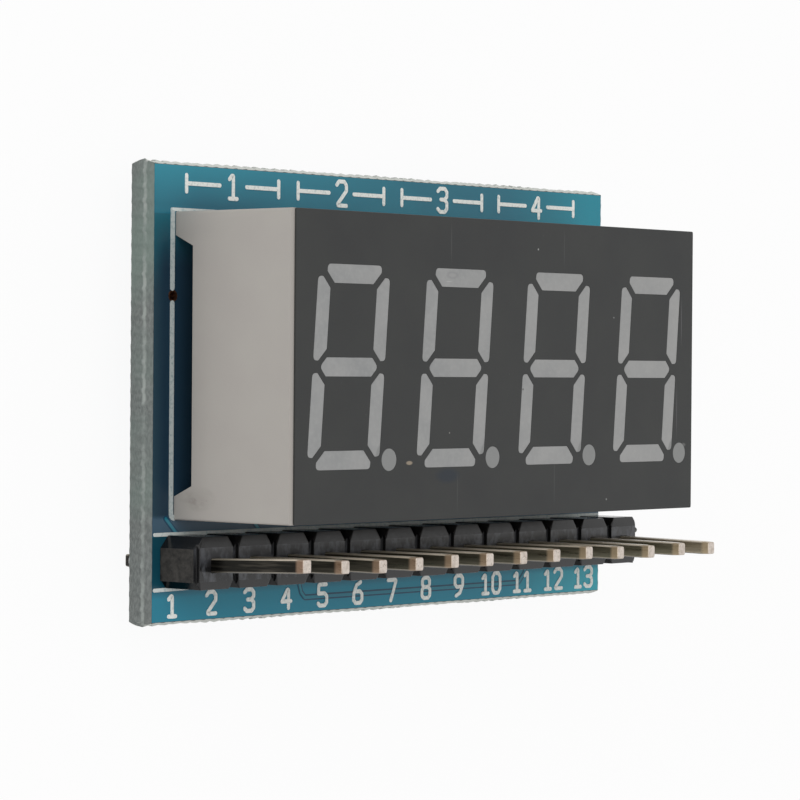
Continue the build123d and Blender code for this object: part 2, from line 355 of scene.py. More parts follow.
@dataclass(frozen=True)
class HeaderStrip(Moulding):
    """Near-black glossy header plastic, scuffed and with painted light on its crowns, and painted shade in
    the notches of its lower side.
    """

    scuff: Colour = (84, 86, 91)
    # painted light on the crowns
    painted_crown_light: Colour = (60, 61, 64)
    # painted shade on the notch walls
    notch_shade: Colour = (5, 5, 5)
    pin_row: float = 0.0

    def tone(self, shade: Shade) -> Socket:
        """Painted light on the crowns alone, which face straight out of the board, strongest past the pin row
        to make up for the pins' shadow there, with scuffs over it.
        """
        patches = shade.sum("MULTIPLY", shade.noise(0.7, detail=2), shade.noise(0.22, (1, 0.5, 1), 4))
        crowns = shade.remap(shade.facing("Z"), 0.9935, 0.9985)
        # painted light: lighter past the pin row, to make up for the shadow that the pins cast on the crowns
        upper = shade.remap(shade.axis("Y"), (self.pin_row - 0.1) * MM, (self.pin_row + 0.35) * MM, 0.1, 0.75)
        painted_crown_light = shade.mix(shade.sum("MULTIPLY", crowns, upper), super().tone(shade), self.painted_crown_light)
        scuffs = shade.sum("MULTIPLY", crowns, shade.remap(patches, 0.22, 0.36, 0.0, 0.7))
        return shade.mix(self.notches(shade), shade.mix(scuffs, painted_crown_light, self.scuff), self.notch_shade)

    def notches(self, shade: Shade) -> Socket:
        """1 on the walls of the notches in the strip's lower side, where shade is painted."""
        under = shade.remap(shade.facing("Y"), -0.25, -0.5)
        walls = shade.remap(shade.sum("ABSOLUTE", shade.facing("Z"), 0.0), 0.6, 0.3)
        return shade.sum("MULTIPLY", under, walls)

    def paint(self, shade: Shade) -> None:
        """The plastic, with painted shade in the notches of its lower side: near black and without gloss
        there.
        """
        super().paint(shade)
        # painted shade: the near-black notch walls reflect almost nothing
        shade.surface(metallic=self.notches(shade))


@dataclass(frozen=True)
class ToneField:
    """A part of the solder mask with another tone, fading at each side by its own length."""

    low: Flat
    high: Flat
    fade_low: Flat
    fade_high: Flat
    colour: Colour
    strength: float = 1.0


@dataclass(frozen=True)
class Mask(Finish):
    """Glossy solder mask in broad patches of deeper and brighter tone, with fields laid over it, most of them
    painted shade by the display and painted light near the board's edges.
    """

    colour: Colour = (27, 114, 134)
    deep: Colour = (21, 101, 123)
    fields: tuple[ToneField, ...] = ()
    roughness: float = 0.26

    def window(self, shade: Shade, axis: str, low: float, high: float, fades: Flat) -> Socket:
        """1 between two places along an axis, with a fade inside each of them."""
        place = shade.axis(axis)
        after = shade.remap(place, low * MM, (low + fades[0]) * MM)
        return shade.sum("MULTIPLY", after, shade.remap(place, high * MM, (high - fades[1]) * MM))

    def paint(self, shade: Shade) -> None:
        """Broad shifts of tone, then each field over them, with the glass weave just showing in the gloss."""
        tone = shade.remap(shade.noise(6.0, detail=2), 0.35, 0.65)
        look = shade.mix(tone, self.deep, self.colour)
        for field in self.fields:
            sides = []
            for i, axis in enumerate("XY"):
                fades = (field.fade_low[i], field.fade_high[i])
                sides.append(self.window(shade, axis, field.low[i], field.high[i], fades))
            share = shade.sum("MULTIPLY", shade.sum("MULTIPLY", *sides), field.strength)
            look = shade.mix(share, look, field.colour)
        shade.surface(base_color=look, roughness=self.roughness, specular_ior_level=0.25)
        shade.relief(shade.noise(0.5, detail=1), 0.004)


@dataclass(frozen=True)
class Laminate(Finish):
    """Snapped glass laminate: pale ridge, greenish flanks and painted light on the upper and lower edges."""

    flank: Colour = (127, 131, 129)
    shadow: Colour = (105, 110, 108)
    green: Colour = (122, 139, 131)
    ridge: Colour = (162, 168, 164)
    # painted light on the edges that face along Y
    painted_edge_light: Colour = (226, 229, 223)
    ridge_at: float = 0.0
    ridge_reach: float = 0.13
    grain: float = 0.22

    def paint(self, shade: Shade) -> None:
        """Streaks along the edge, the torn ridge pale, and painted light on the upper and lower edges."""
        streaks = shade.noise(self.grain, (1, 1, 2.2), 5)
        body = shade.mix(shade.remap(streaks, 0.35, 0.65), self.shadow, self.flank)
        body = shade.mix(shade.remap(shade.noise(5.0, detail=2), 0.42, 0.62, 0.0, 0.6), body, self.green)
        from_ridge = shade.sum("ABSOLUTE", shade.sum("SUBTRACT", shade.axis("Z"), self.ridge_at * MM), 0.0)
        pale = shade.remap(from_ridge, self.ridge_reach * MM, 0.4 * self.ridge_reach * MM)
        broken = shade.sum("MULTIPLY", pale, shade.remap(shade.noise(0.8, detail=4), 0.36, 0.64, 0.1, 0.9))
        look = shade.mix(broken, body, self.ridge)
        # painted light on the faces that face along Y
        upright = shade.remap(shade.sum("ABSOLUTE", shade.facing("Y"), 0.0), 0.6, 0.9, 0.0, 0.85)
        shade.surface(base_color=shade.mix(upright, look, self.painted_edge_light), roughness=0.75, specular_ior_level=0.2)
        shade.relief(streaks, 0.02)


@dataclass(frozen=True)
class PinPlating(Finish):
    """Plating drawn along the pin: dark on the sheared flanks, partly their own duller metal and partly a
    painted reflection that grows paler along the row, painted shade near the strip and below, brown at the
    tip, pale where it was cut.
    """

    top: float
    tip_length: float
    span: Flat
    colour: Colour = (224, 214, 198)
    streak: Colour = (204, 193, 174)
    # painted shade towards the strip
    root: Colour = (104, 98, 84)
    # painted shade on the sides facing -Y
    under: Colour = (52, 50, 45)
    # painted reflection on the flanks, dark at the first pin and pale at the last
    flank_reflection_start: Colour = (34, 33, 30)
    flank_reflection_end: Colour = (136, 130, 110)
    last_flank_reflection: Colour = (176, 162, 140)
    rolled: Colour = (140, 111, 88)
    last_rolled: Colour = (180, 160, 128)
    cut: Colour = (202, 191, 181)
    pit: Colour = (178, 166, 154)

    def paint(self, shade: Shade) -> None:
        """Streaks along Z, painted shade near the strip and on the lower sides, a painted reflection on the
        flanks that is darkest at one end of the row, then the tones of the tip.
        """
        streaks = shade.noise(0.12, (1, 1, 0.06), 4)
        metal = shade.mix(shade.remap(streaks, 0.35, 0.65), self.streak, self.colour)
        # painted shade, deepest near the strip
        shadow = shade.remap(shade.axis("Z"), (self.top - 4.6) * MM, (self.top - 1.2) * MM, 0.75, 0.0)
        metal = shade.mix(shadow, metal, self.root)
        # painted shade on the sides that face -Y
        metal = shade.mix(shade.remap(shade.facing("Y"), -0.15, -0.6, 0.0, 0.9), metal, self.under)
        along = shade.remap(shade.axis("X"), self.span[0] * MM, self.span[1] * MM)
        # painted reflection on the flanks, graded along the row
        flank = shade.mix(along, self.flank_reflection_start, self.flank_reflection_end)
        flank = shade.mix(shade.remap(along, 0.96, 0.97, 0.0, 0.8), flank, self.last_flank_reflection)
        flank = shade.mix(shade.remap(streaks, 0.5, 0.75, 0.0, 0.08), flank, self.streak)
        sheared = shade.remap(shade.sum("ABSOLUTE", shade.facing("X"), 0.0), 0.9, 0.985)
        height = shade.axis("Z")
        tip = self.top - self.tip_length
        look = shade.mix(sheared, metal, flank)
        at_tip = shade.remap(height, tip * MM, (tip + 0.14) * MM)
        rolled = shade.mix(along, self.rolled, self.last_rolled)
        look = shade.mix(shade.sum("MULTIPLY", at_tip, 0.75), look, rolled)
        ends = shade.remap(shade.facing("Z"), 0.5, 0.8)
        torn = shade.mix(shade.remap(shade.noise(0.2, detail=3), 0.42, 0.66), self.cut, self.pit)
        shade.surface(base_color=shade.mix(ends, look, torn))
        bright = shade.sum("MULTIPLY", sheared, shade.remap(at_tip, 0, 1, 1, 0))
        shade.surface(metallic=shade.remap(bright, 0, 1, 0.35, 0.95))
        shade.surface(roughness=shade.remap(streaks, 0.3, 0.7, 0.24, 0.42))
        shade.relief(shade.noise(0.12, (1, 1, 0.5), 2), 0.003)


@dataclass(frozen=True)
class Tinned(Finish):
    """Solder or tin: bright, a little uneven."""

    colour: Colour = (205, 206, 204)
    dull: Colour = (158, 160, 160)
    roughness: float = 0.26
    grain: float = 0.25
    depth: float = 0.01

    def paint(self, shade: Shade) -> None:
        """Bright metal with dull patches and a slow ripple."""
        patches = shade.noise(self.grain, detail=4)
        share = shade.remap(patches, 0.35, 0.7)
        gloss = shade.remap(patches, 0.3, 0.7, self.roughness, self.roughness + 0.18)
        shade.surface(base_color=shade.mix(share, self.colour, self.dull), metallic=1.0, roughness=gloss)
        shade.relief(patches, self.depth)


@dataclass(frozen=True)
class Mark:
    """A small mark on the display's face, at a place from the face's middle."""

    x: float
    y: float
    half_length: float
    half_height: float
    colour: Colour
    strength: float = 1.0
    soft: float = 0.6


@dataclass(frozen=True)
class FacePrint(Finish):
    """The display's dark matte print, with faint mould lines, scuffs and specks."""

    middle: tuple[float, float, float]
    marks: tuple[Mark, ...] = ()
    colour: Colour = (52, 53, 53)
    cloud: Colour = (57, 58, 57)
    fleck: Colour = (104, 104, 102)
    fleck_share: float = 0.6
    roughness: float = 0.5
    depth: float = 0.003

    def tone(self, shade: Shade) -> Socket:
        """The ground colour, in clouds and fine flecks."""
        clouds = shade.remap(shade.noise(3.0, detail=5), 0.3, 0.7)
        flecks = shade.remap(shade.noise(0.16, detail=2), 0.76, 0.84, 0, self.fleck_share)
        return shade.mix(flecks, shade.mix(clouds, self.colour, self.cloud), self.fleck)

    def paint(self, shade: Shade) -> None:
        """The ground with each mark laid over it in turn."""
        look = self.tone(shade)
        for mark in self.marks:
            centre = (self.middle[0] + mark.x, self.middle[1] + mark.y, self.middle[2])
            spot = shade.spot(centre, (mark.half_length, mark.half_height, 1.0), mark.soft)
            look = shade.mix(shade.sum("MULTIPLY", spot, mark.strength), look, mark.colour)
        grain = shade.noise(0.06, detail=4)
        gloss = shade.remap(grain, 0.3, 0.7, self.roughness - 0.06, self.roughness + 0.1)
        shade.surface(base_color=look, roughness=gloss, specular_ior_level=0.2)
        shade.relief(grain, self.depth)


@dataclass(frozen=True)
class SegmentResin(FacePrint):
    """Milky resin with fine bubbles and an uneven, faintly glossy top."""

    colour: Colour = (148, 149, 149)
    cloud: Colour = (160, 160, 159)
    fleck: Colour = (170, 170, 169)
    paler: Colour = (170, 169, 167)
    fleck_share: float = 0.4
    roughness: float = 0.4
    depth: float = 0.006

    def tone(self, shade: Shade) -> Socket:
        """Slow clouds from bar to bar under a fine grit, paler towards the last digit."""
        clouds = shade.remap(shade.noise(1.7, detail=4), 0.32, 0.68)
        grit = shade.remap(shade.noise(0.2, detail=5), 0.45, 0.75, 0, self.fleck_share)
        milky = shade.mix(grit, shade.mix(clouds, self.colour, self.cloud), self.fleck)
        return shade.mix(shade.remap(shade.axis("X"), -9 * MM, 13 * MM, 0.0, 0.35), milky, self.paler)


@dataclass(frozen=True)
class SilkInk(Finish):
    """White print with thin, uneven cover."""

    colour: Colour = (208, 214, 213)
    thin: Colour = (158, 180, 184)

    def paint(self, shade: Shade) -> None:
        """Cover that thins in small patches."""
        cover = shade.remap(shade.noise(0.14, detail=4), 0.5, 0.7)
        look = shade.mix(cover, self.colour, self.thin)
        shade.surface(base_color=look, roughness=0.6, specular_ior_level=0.2)
        shade.relief(shade.noise(0.1), 0.004)


@dataclass(frozen=True)
class ChipCeramic(Finish):
    """A chip resistor's pale ceramic under its dark glaze."""

    glaze_below: float
    ceramic: Colour = (214, 210, 198)
    speck: Colour = (176, 172, 160)
    glaze: Colour = (24, 25, 28)

    def paint(self, shade: Shade) -> None:
        """Dark on the side away from the board."""
        dark = shade.remap(shade.axis("Z"), self.glaze_below * MM, (self.glaze_below - 0.03) * MM)
        speckle = shade.remap(shade.noise(0.09, detail=3), 0.4, 0.7, 0, 0.3)
        body = shade.mix(speckle, self.ceramic, self.speck)
        shade.surface(base_color=shade.mix(dark, body, self.glaze), roughness=0.35)
        shade.relief(shade.noise(0.12), 0.004)


BREAK = Moulding("broken_strip", (62, 60, 57), (30, 29, 28), 0.3, 0.12, (1, 1, 1), 0.03, 0.7)
FLAKE = Moulding("torn_flake", (150, 152, 148), (104, 106, 103), 0.1, 0.05, (1, 1, 1), 0.01, 0.6)
PACKAGE = Moulding("transistor_package", (32, 32, 34), (40, 40, 42), 0.8, 0.05)
POTTING = Moulding("cast_resin", (176, 170, 152), (160, 152, 134), 2.0, 0.3, (1, 1, 1), 0.01, 0.3)
CHIP_BOARD = Moulding("chip_board", (186, 182, 160), (172, 168, 146), 1.0, 0.2)
DIE = Moulding("led_die", (190, 170, 90), (170, 150, 80), 0.1, 0.05)
BACK_MASK = Mask("back_mask")
TRACK_MASK = Mask("track_mask", (30, 128, 146), (28, 116, 138), roughness=0.2)
GAP_MASK = Mask("gap_mask", (14, 70, 96), (12, 62, 88))
SOLDER = Tinned("solder")
TIN = Tinned("tinned_leads", (196, 194, 188), (164, 162, 156), 0.32, 0.1, 0.004)
COPPER = Tinned("bare_copper", (128, 84, 58), (62, 42, 32), 0.4, 0.12, 0.006)
SILK = SilkInk("silk_print", (218, 224, 221), (182, 198, 200))
# painted light: a brighter copy of the silk ink, for the numbers
LIT_NUMBER_SILK = SilkInk("number_silk", (248, 250, 245), (212, 221, 219))
# painted shade: a darker copy of the silk ink, for the outline beside the display
SHADED_SILK = SilkInk("side_silk", (188, 196, 195), (152, 170, 172))


# Meshes


class Draft:
    """A mesh under construction. Its points are given in millimetres."""

    def __init__(self) -> None:
        """Starts with no faces."""
        self.mesh = bmesh.new()

    def loft(self, loops: Sequence[Sequence[Vector]], ring: bool = False) -> None:
        """Joins loops of equally many points into a closed skin.

        Args:
            loops: the loops in order, each closed.
            ring: whether the last loop joins the first; otherwise both ends are capped.
        """
        rows = [[self.mesh.verts.new(Vector(point) * MM) for point in loop] for loop in loops]
        pairs = list(zip(rows, rows[1:]))
        if ring:
            pairs.append((rows[-1], rows[0]))
        for lower, upper in pairs:
            for i, corner in enumerate(lower):
                j = (i + 1) % len(lower)
                self.mesh.faces.new((corner, lower[j], upper[j], upper[i]))
        if not ring:
            self.mesh.faces.new(rows[0][::-1])
            self.mesh.faces.new(rows[-1])

    def data(self, name: str) -> bpy.types.Mesh:
        """The finished mesh, with its faces pointing outwards."""
        bmesh.ops.recalc_face_normals(self.mesh, faces=self.mesh.faces)
        made = bpy.data.meshes.new(name)
        self.mesh.to_mesh(made)
        self.mesh.free()
        return made


def add_piece(
    name: str,
    data: bpy.types.Mesh,
    finish: Finish,
    stands_for: Iterable[str] = (),
    crease: float = 35.0,
) -> None:
    """Puts a finished mesh into the scene as a piece of the module.

    Args:
        name: the piece's name.
        data: its mesh, in place.
        finish: how it looks.
        stands_for: the nodes that it replaces.
        crease: faces that meet at more than this many degrees keep a sharp edge.
    """
    data.materials.clear()
    data.materials.append(finish.material())
    data.shade_smooth()
    data.set_sharp_from_angle(angle=math.radians(crease))
    piece = bpy.data.objects.new(name, data)
    bpy.context.scene.collection.objects.link(piece)
    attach(piece, ROOT)
    nodes = list(stands_for)
    if nodes:
        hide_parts(*nodes)
    LOG.info("%s: %d faces, stands for %d nodes", name, len(data.polygons), len(nodes))


def dress(finish: Finish, *nodes: str) -> None:
    """Gives nodes that stay as they are a finish.

    Args:
        finish: how they look.
        nodes: their names.
    """
    for name in nodes:
        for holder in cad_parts[name].material_slots:
            holder.material = finish.material()
        LOG.info("%s: dressed", name)


def numbered(pattern: str, count: int) -> list[str]:
    """The names of a row of like nodes, counted from 1."""
    return [pattern.format(i + 1) for i in range(count)]


HEADER_PINS = numbered("header_pin_{:02d}", 13)
DISPLAY_PINS = numbered("display_pin_{:02d}", 12)
DIGITS = numbered("digit_{}_segments", 4)


def merged(nodes: Iterable[str]) -> bmesh.types.BMesh:
    """A copy of some nodes' meshes with their points joined and their flat faces whole."""
    copy = bmesh.new()
    for name in nodes:
        copy.from_mesh(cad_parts[name].data)
    bmesh.ops.remove_doubles(copy, verts=copy.verts, dist=1e-8)
    bmesh.ops.dissolve_limit(copy, angle_limit=math.radians(1), verts=copy.verts, edges=copy.edges)
    return copy


def folds(mesh: bmesh.types.BMesh, angle: float) -> list[bmesh.types.BMEdge]:
    """The edges of a mesh whose two faces meet at more than an angle in degrees."""
    limit = math.radians(angle)
    return [edge for edge in mesh.edges if edge.is_manifold and edge.calc_face_angle() > limit]


def ease_edges(mesh: bmesh.types.BMesh, edges: list[bmesh.types.BMEdge], radius: float) -> None:
    """Rounds some edges of a mesh.

    Args:
        mesh: the mesh to change.
        edges: the edges to round.
        radius: how far each is cut back, in millimetres.
    """
    options = {"segments": 2, "profile": 0.5, "affect": "EDGES", "clamp_overlap": True}
    bmesh.ops.bevel(mesh, geom=edges, offset=radius * MM, **options)


def softened(nodes: Iterable[str], radius: float, name: str) -> bpy.types.Mesh:
    """A copy of some nodes with every sharp edge rounded.

    Args:
        nodes: the nodes to copy.
        radius: how far each edge is cut back, in millimetres.
        name: the mesh's name.

    Returns:
        The rounded mesh.
    """
    copy = merged(nodes)
    ease_edges(copy, folds(copy, 20), radius)
    made = bpy.data.meshes.new(name)
    copy.to_mesh(made)
    copy.free()
    return made


def rounded(points: Sequence[Vector], radius: float, steps: int = 5, blunt: float = 1.0) -> list[Vector]:
    """Rounds the corners of a closed outline.

    Two corners share the side between them by how sharply each turns, so a short side still gets round.

    Args:
        points: its corners in order.
        radius: the radius at each corner.
        steps: how many points make each arc.
        blunt: the share of the radius that a corner gets where the outline turns by less than 75 degrees.

    Returns:
        The points of the rounded outline.
    """
    count = len(points)
    sides = [points[(i + 1) % count] - points[i] for i in range(count)]
    turns = [sides[i - 1].angle(sides[i]) for i in range(count)]
    made = []
    for i, corner in enumerate(points):
        wanted = radius * math.tan(turns[i] / 2) * (1.0 if turns[i] > math.radians(75) else blunt)
        before = 0.95 * sides[i - 1].length * turns[i] / (turns[i] + turns[i - 1])
        after = 0.95 * sides[i].length * turns[i] / (turns[i] + turns[(i + 1) % count])
        start = corner - sides[i - 1].normalized() * min(wanted, before)
        end = corner + sides[i].normalized() * min(wanted, after)
        for k in range(steps):
            t = k / (steps - 1)
            made.append(start.lerp(corner, t).lerp(corner.lerp(end, t), t))
    return made


def path_mesh(paths: Iterable[Sequence[Vector]]) -> bpy.types.Mesh:
    """Paths as a mesh of edges, for a tree that draws along them."""
    points, edges = [], []
    for path in paths:
        closed = (path[0] - path[-1]).length < 1e-6
        corners = list(path[:-1] if closed else path)
        first, last = len(points), len(points) + len(corners) - 1
        points += [corner * MM for corner in corners]
        edges += [(i, i + 1) for i in range(first, last)]
        if closed:
            edges.append((last, first))
    made = bpy.data.meshes.new("paths")
    made.from_pydata(points, edges, [])
    return made


def point_mesh(points: Iterable[Vector]) -> bpy.types.Mesh:
    """Loose points, for a tree that plants something on them."""
    made = bpy.data.meshes.new("places")
    made.from_pydata([point * MM for point in points], [], [])
    return made


# Repeated shapes


class Pattern:
    """A Geometry Nodes tree with named sizes that ends in one plain mesh."""

    def __init__(self, name: str) -> None:
        """Starts a tree that takes one geometry and gives one back."""
        self.tree = bpy.data.node_groups.new(name, "GeometryNodeTree")
        for way in ("INPUT", "OUTPUT"):
            self.tree.interface.new_socket("Geometry", in_out=way, socket_type="NodeSocketGeometry")
        self.entry = self.tree.nodes.new("NodeGroupInput")
        self.exit = self.tree.nodes.new("NodeGroupOutput")
        self.values: dict[str, float] = {}

    @property
    def carrier(self) -> Socket:
        """The paths or places that the tree works on."""
        return self.entry.outputs["Geometry"]

    def length(self, name: str, value: float) -> Socket:
        """A named input, set to a length in millimetres."""
        item = self.tree.interface.new_socket(name, in_out="INPUT", socket_type="NodeSocketFloat")
        self.values[item.identifier] = value * MM
        return self.entry.outputs[name]

    def share(self, name: str, value: float) -> Socket:
        """A named input, set to a plain number."""
        item = self.tree.interface.new_socket(name, in_out="INPUT", socket_type="NodeSocketFloat")
        self.values[item.identifier] = value
        return self.entry.outputs[name]

    def add(self, kind: str, inputs: dict[Any, Any] | None = None, **settings: Any) -> bpy.types.Node:
        """Adds a node.

        Args:
            kind: the node's type.
            inputs: what goes into its sockets, as values or as other nodes' sockets.
            settings: the node's own properties.

        Returns:
            The new node.
        """
        node = self.tree.nodes.new(kind)
        for name, value in settings.items():
            setattr(node, name, value)
        for key, value in (inputs or {}).items():
            if isinstance(value, bpy.types.NodeSocket):
                self.tree.links.new(value, node.inputs[key])
            else:
                node.inputs[key].default_value = value
        return node

    def sum(self, operation: str, first: Any, second: Any) -> Socket:
        """Works out one value from two."""
        return self.add("ShaderNodeMath", {0: first, 1: second}, operation=operation).outputs[0]

    def join(self, *parts: Socket) -> Socket:
        """Several geometries as one."""
        node = self.tree.nodes.new("GeometryNodeJoinGeometry")
        for part in parts:
            self.tree.links.new(part, node.inputs[0])
        return node.outputs[0]

    def end(self, geometry: Socket, finish: Finish) -> None:
        """Makes the tree's result real and gives it a finish."""
        real = self.add("GeometryNodeRealizeInstances", {"Geometry": geometry}).outputs[0]
        inputs = {"Geometry": real, "Material": finish.material()}
        look = self.add("GeometryNodeSetMaterial", inputs).outputs[0]
        self.tree.links.new(look, self.exit.inputs["Geometry"])

    def grow(self, carrier: bpy.types.Mesh) -> bpy.types.Mesh:
        """Runs the tree.

        Args:
            carrier: the mesh whose edges or points it works on.

        Returns:
            The result as a plain mesh.
        """
        holder = bpy.data.objects.new(self.tree.name, carrier)
        bpy.context.scene.collection.objects.link(holder)
        modifier = holder.modifiers.new(self.tree.name, "NODES")
        modifier.node_group = self.tree
        for identifier, value in self.values.items():
            modifier[identifier] = value
        graph = bpy.context.evaluated_depsgraph_get()
        made = bpy.data.meshes.new_from_object(holder.evaluated_get(graph), depsgraph=graph)
        holder.modifiers.remove(modifier)
        bpy.data.objects.remove(holder)
        return made


class LinePattern(Pattern):
    """Flat raised lines with round ends and eased corners, along paths."""

    CORNER_POINTS = 3
    END_SIDES = 14
    END_SHARE = 0.8

    def __init__(self, name: str, width: float, thickness: float, corner: float, finish: Finish) -> None:
        """Builds the tree.

        Args:
            name: the tree's name.
            width: the lines' width in millimetres.
            thickness: how far they stand out.
            corner: the radius at their corners.
            finish: how they look.
        """
        super().__init__(name)
        across = self.length("Width", width)
        high = self.length("Thickness", thickness)
        turn = self.length("Corner Radius", corner)
        path = self.add("GeometryNodeMeshToCurve", {"Mesh": self.carrier}).outputs[0]
        inputs = {"Curve": path, "Radius": turn, "Count": self.CORNER_POINTS, "Limit Radius": True}
        eased = self.add("GeometryNodeFilletCurve", inputs, mode="POLY").outputs[0]
        level = self.add("GeometryNodeSetCurveNormal", {"Curve": eased}, mode="Z_UP").outputs[0]
        inputs = {"Width": across, "Height": high}
        section = self.add("GeometryNodeCurvePrimitiveQuadrilateral", inputs).outputs[0]
        inputs = {"Curve": level, "Profile Curve": section, "Fill Caps": True}
        ribbon = self.add("GeometryNodeCurveToMesh", inputs).outputs[0]
        low = self.sum("MULTIPLY", high, self.END_SHARE)
        half = self.sum("MULTIPLY", across, 0.5)
        inputs = {"Vertices": self.END_SIDES, "Radius": half, "Depth": low}
        dot = self.add("GeometryNodeMeshCylinder", inputs).outputs["Mesh"]
        tips = self.add("GeometryNodeCurveEndpointSelection").outputs[0]
        inputs = {"Points": level, "Selection": tips, "Instance": dot}
        ends = self.add("GeometryNodeInstanceOnPoints", inputs).outputs[0]
        self.end(self.join(ribbon, ends), finish)


class SolderPattern(Pattern):
    """Solder joints that flare onto their pads and draw up to a thin collar, each a little different."""

    SIDES, RINGS, SEED = 28, 9, 7
    LEAST, MOST = (0.94, 0.94, 0.9), (1.05, 1.05, 1.0)
    FLARE = 2.4

    def __init__(self, name: str, pad: float, collar: float, height: float, finish: Finish) -> None:
        """Builds the tree.

        Args:
            name: the tree's name.
            pad: the pad's radius in millimetres.
            collar: the radius where the solder ends on the pin.
            height: how far it climbs.
            finish: how it looks.
        """
        super().__init__(name)
        wide = self.length("Pad Radius", pad)
        narrow = self.length("Collar Radius", collar)
        high = self.length("Height", height)
        flare = self.share("Flare", self.FLARE)
        inputs = {"Vertices": self.SIDES, "Side Segments": self.RINGS, "Fill Segments": 1}
        inputs |= {"Radius": 1.0, "Depth": 1.0}
        drum = self.add("GeometryNodeMeshCylinder", inputs).outputs["Mesh"]
        place = self.add("ShaderNodeSeparateXYZ", {0: self.add("GeometryNodeInputPosition").outputs[0]})
        left = self.sum("ADD", place.outputs["Z"], 0.5)
        spread = self.sum("MULTIPLY", self.sum("POWER", left, flare), self.sum("SUBTRACT", wide, narrow))
        radius = self.sum("ADD", spread, narrow)
        depth = self.sum("MULTIPLY", self.sum("SUBTRACT", left, 1.0), high)
        inputs = {
            "X": self.sum("MULTIPLY", place.outputs["X"], radius),
            "Y": self.sum("MULTIPLY", place.outputs["Y"], radius),
            "Z": depth,
        }
        moved = self.add("ShaderNodeCombineXYZ", inputs).outputs[0]
        cone = self.add("GeometryNodeSetPosition", {"Geometry": drum, "Position": moved}).outputs[0]
        swell = self.add("FunctionNodeRandomValue", data_type="FLOAT_VECTOR")
        swell.inputs[0].default_value = self.LEAST
        swell.inputs[1].default_value = self.MOST
        swell.inputs["Seed"].default_value = self.SEED
        inputs = {"Points": self.carrier, "Instance": cone, "Scale": swell.outputs[0]}
        self.end(self.add("GeometryNodeInstanceOnPoints", inputs).outputs[0], finish)


class PlantedPattern(Pattern):
    """Copies of one shape on a set of places, each turned a little."""

    SEED = 3

    def __init__(self, name: str, shape: bpy.types.Mesh, sway: float, finish: Finish) -> None:
        """Builds the tree.

        Args:
            name: the tree's name.
            shape: the mesh to plant, about its own origin.
            sway: how far each copy may lean or turn, in degrees.
            finish: how it looks.
        """
        super().__init__(name)
        self.model = bpy.data.objects.new(f"{name}_model", shape)
        lean = self.share("Sway", math.radians(sway))
        turn = self.add("FunctionNodeRandomValue", data_type="FLOAT_VECTOR")
        turn.inputs[0].default_value = (-1, -1, -1)
        turn.inputs[1].default_value = (1, 1, 1)
        turn.inputs["Seed"].default_value = self.SEED
        inputs = {0: turn.outputs[0], "Scale": lean}
        swung = self.add("ShaderNodeVectorMath", inputs, operation="SCALE").outputs[0]
        inputs = {"Points": self.carrier, "Rotation": swung}
        inputs["Instance"] = self.add("GeometryNodeObjectInfo", {"Object": self.model}).outputs["Geometry"]
        self.end(self.add("GeometryNodeInstanceOnPoints", inputs).outputs[0], finish)


# Sub-assemblies


def islands(node: str) -> list[Box]:
    """The box of each separate solid in a node, from left to right."""
    copy = merged([node])
    left = set(copy.verts)
    made = []
    while left:
        reached, group = [left.pop()], []
        while reached:
            vertex = reached.pop()
            group.append(vertex.co / MM)
            fresh = {edge.other_vert(vertex) for edge in vertex.link_edges} & left
            left -= fresh
            reached += fresh
        axes = list(zip(*group))
        made.append(Box(Vector([min(axis) for axis in axes]), Vector([max(axis) for axis in axes])))
    copy.free()
    return sorted(made, key=lambda box: (round(box.low.x, 3), round(box.low.y, 3)))


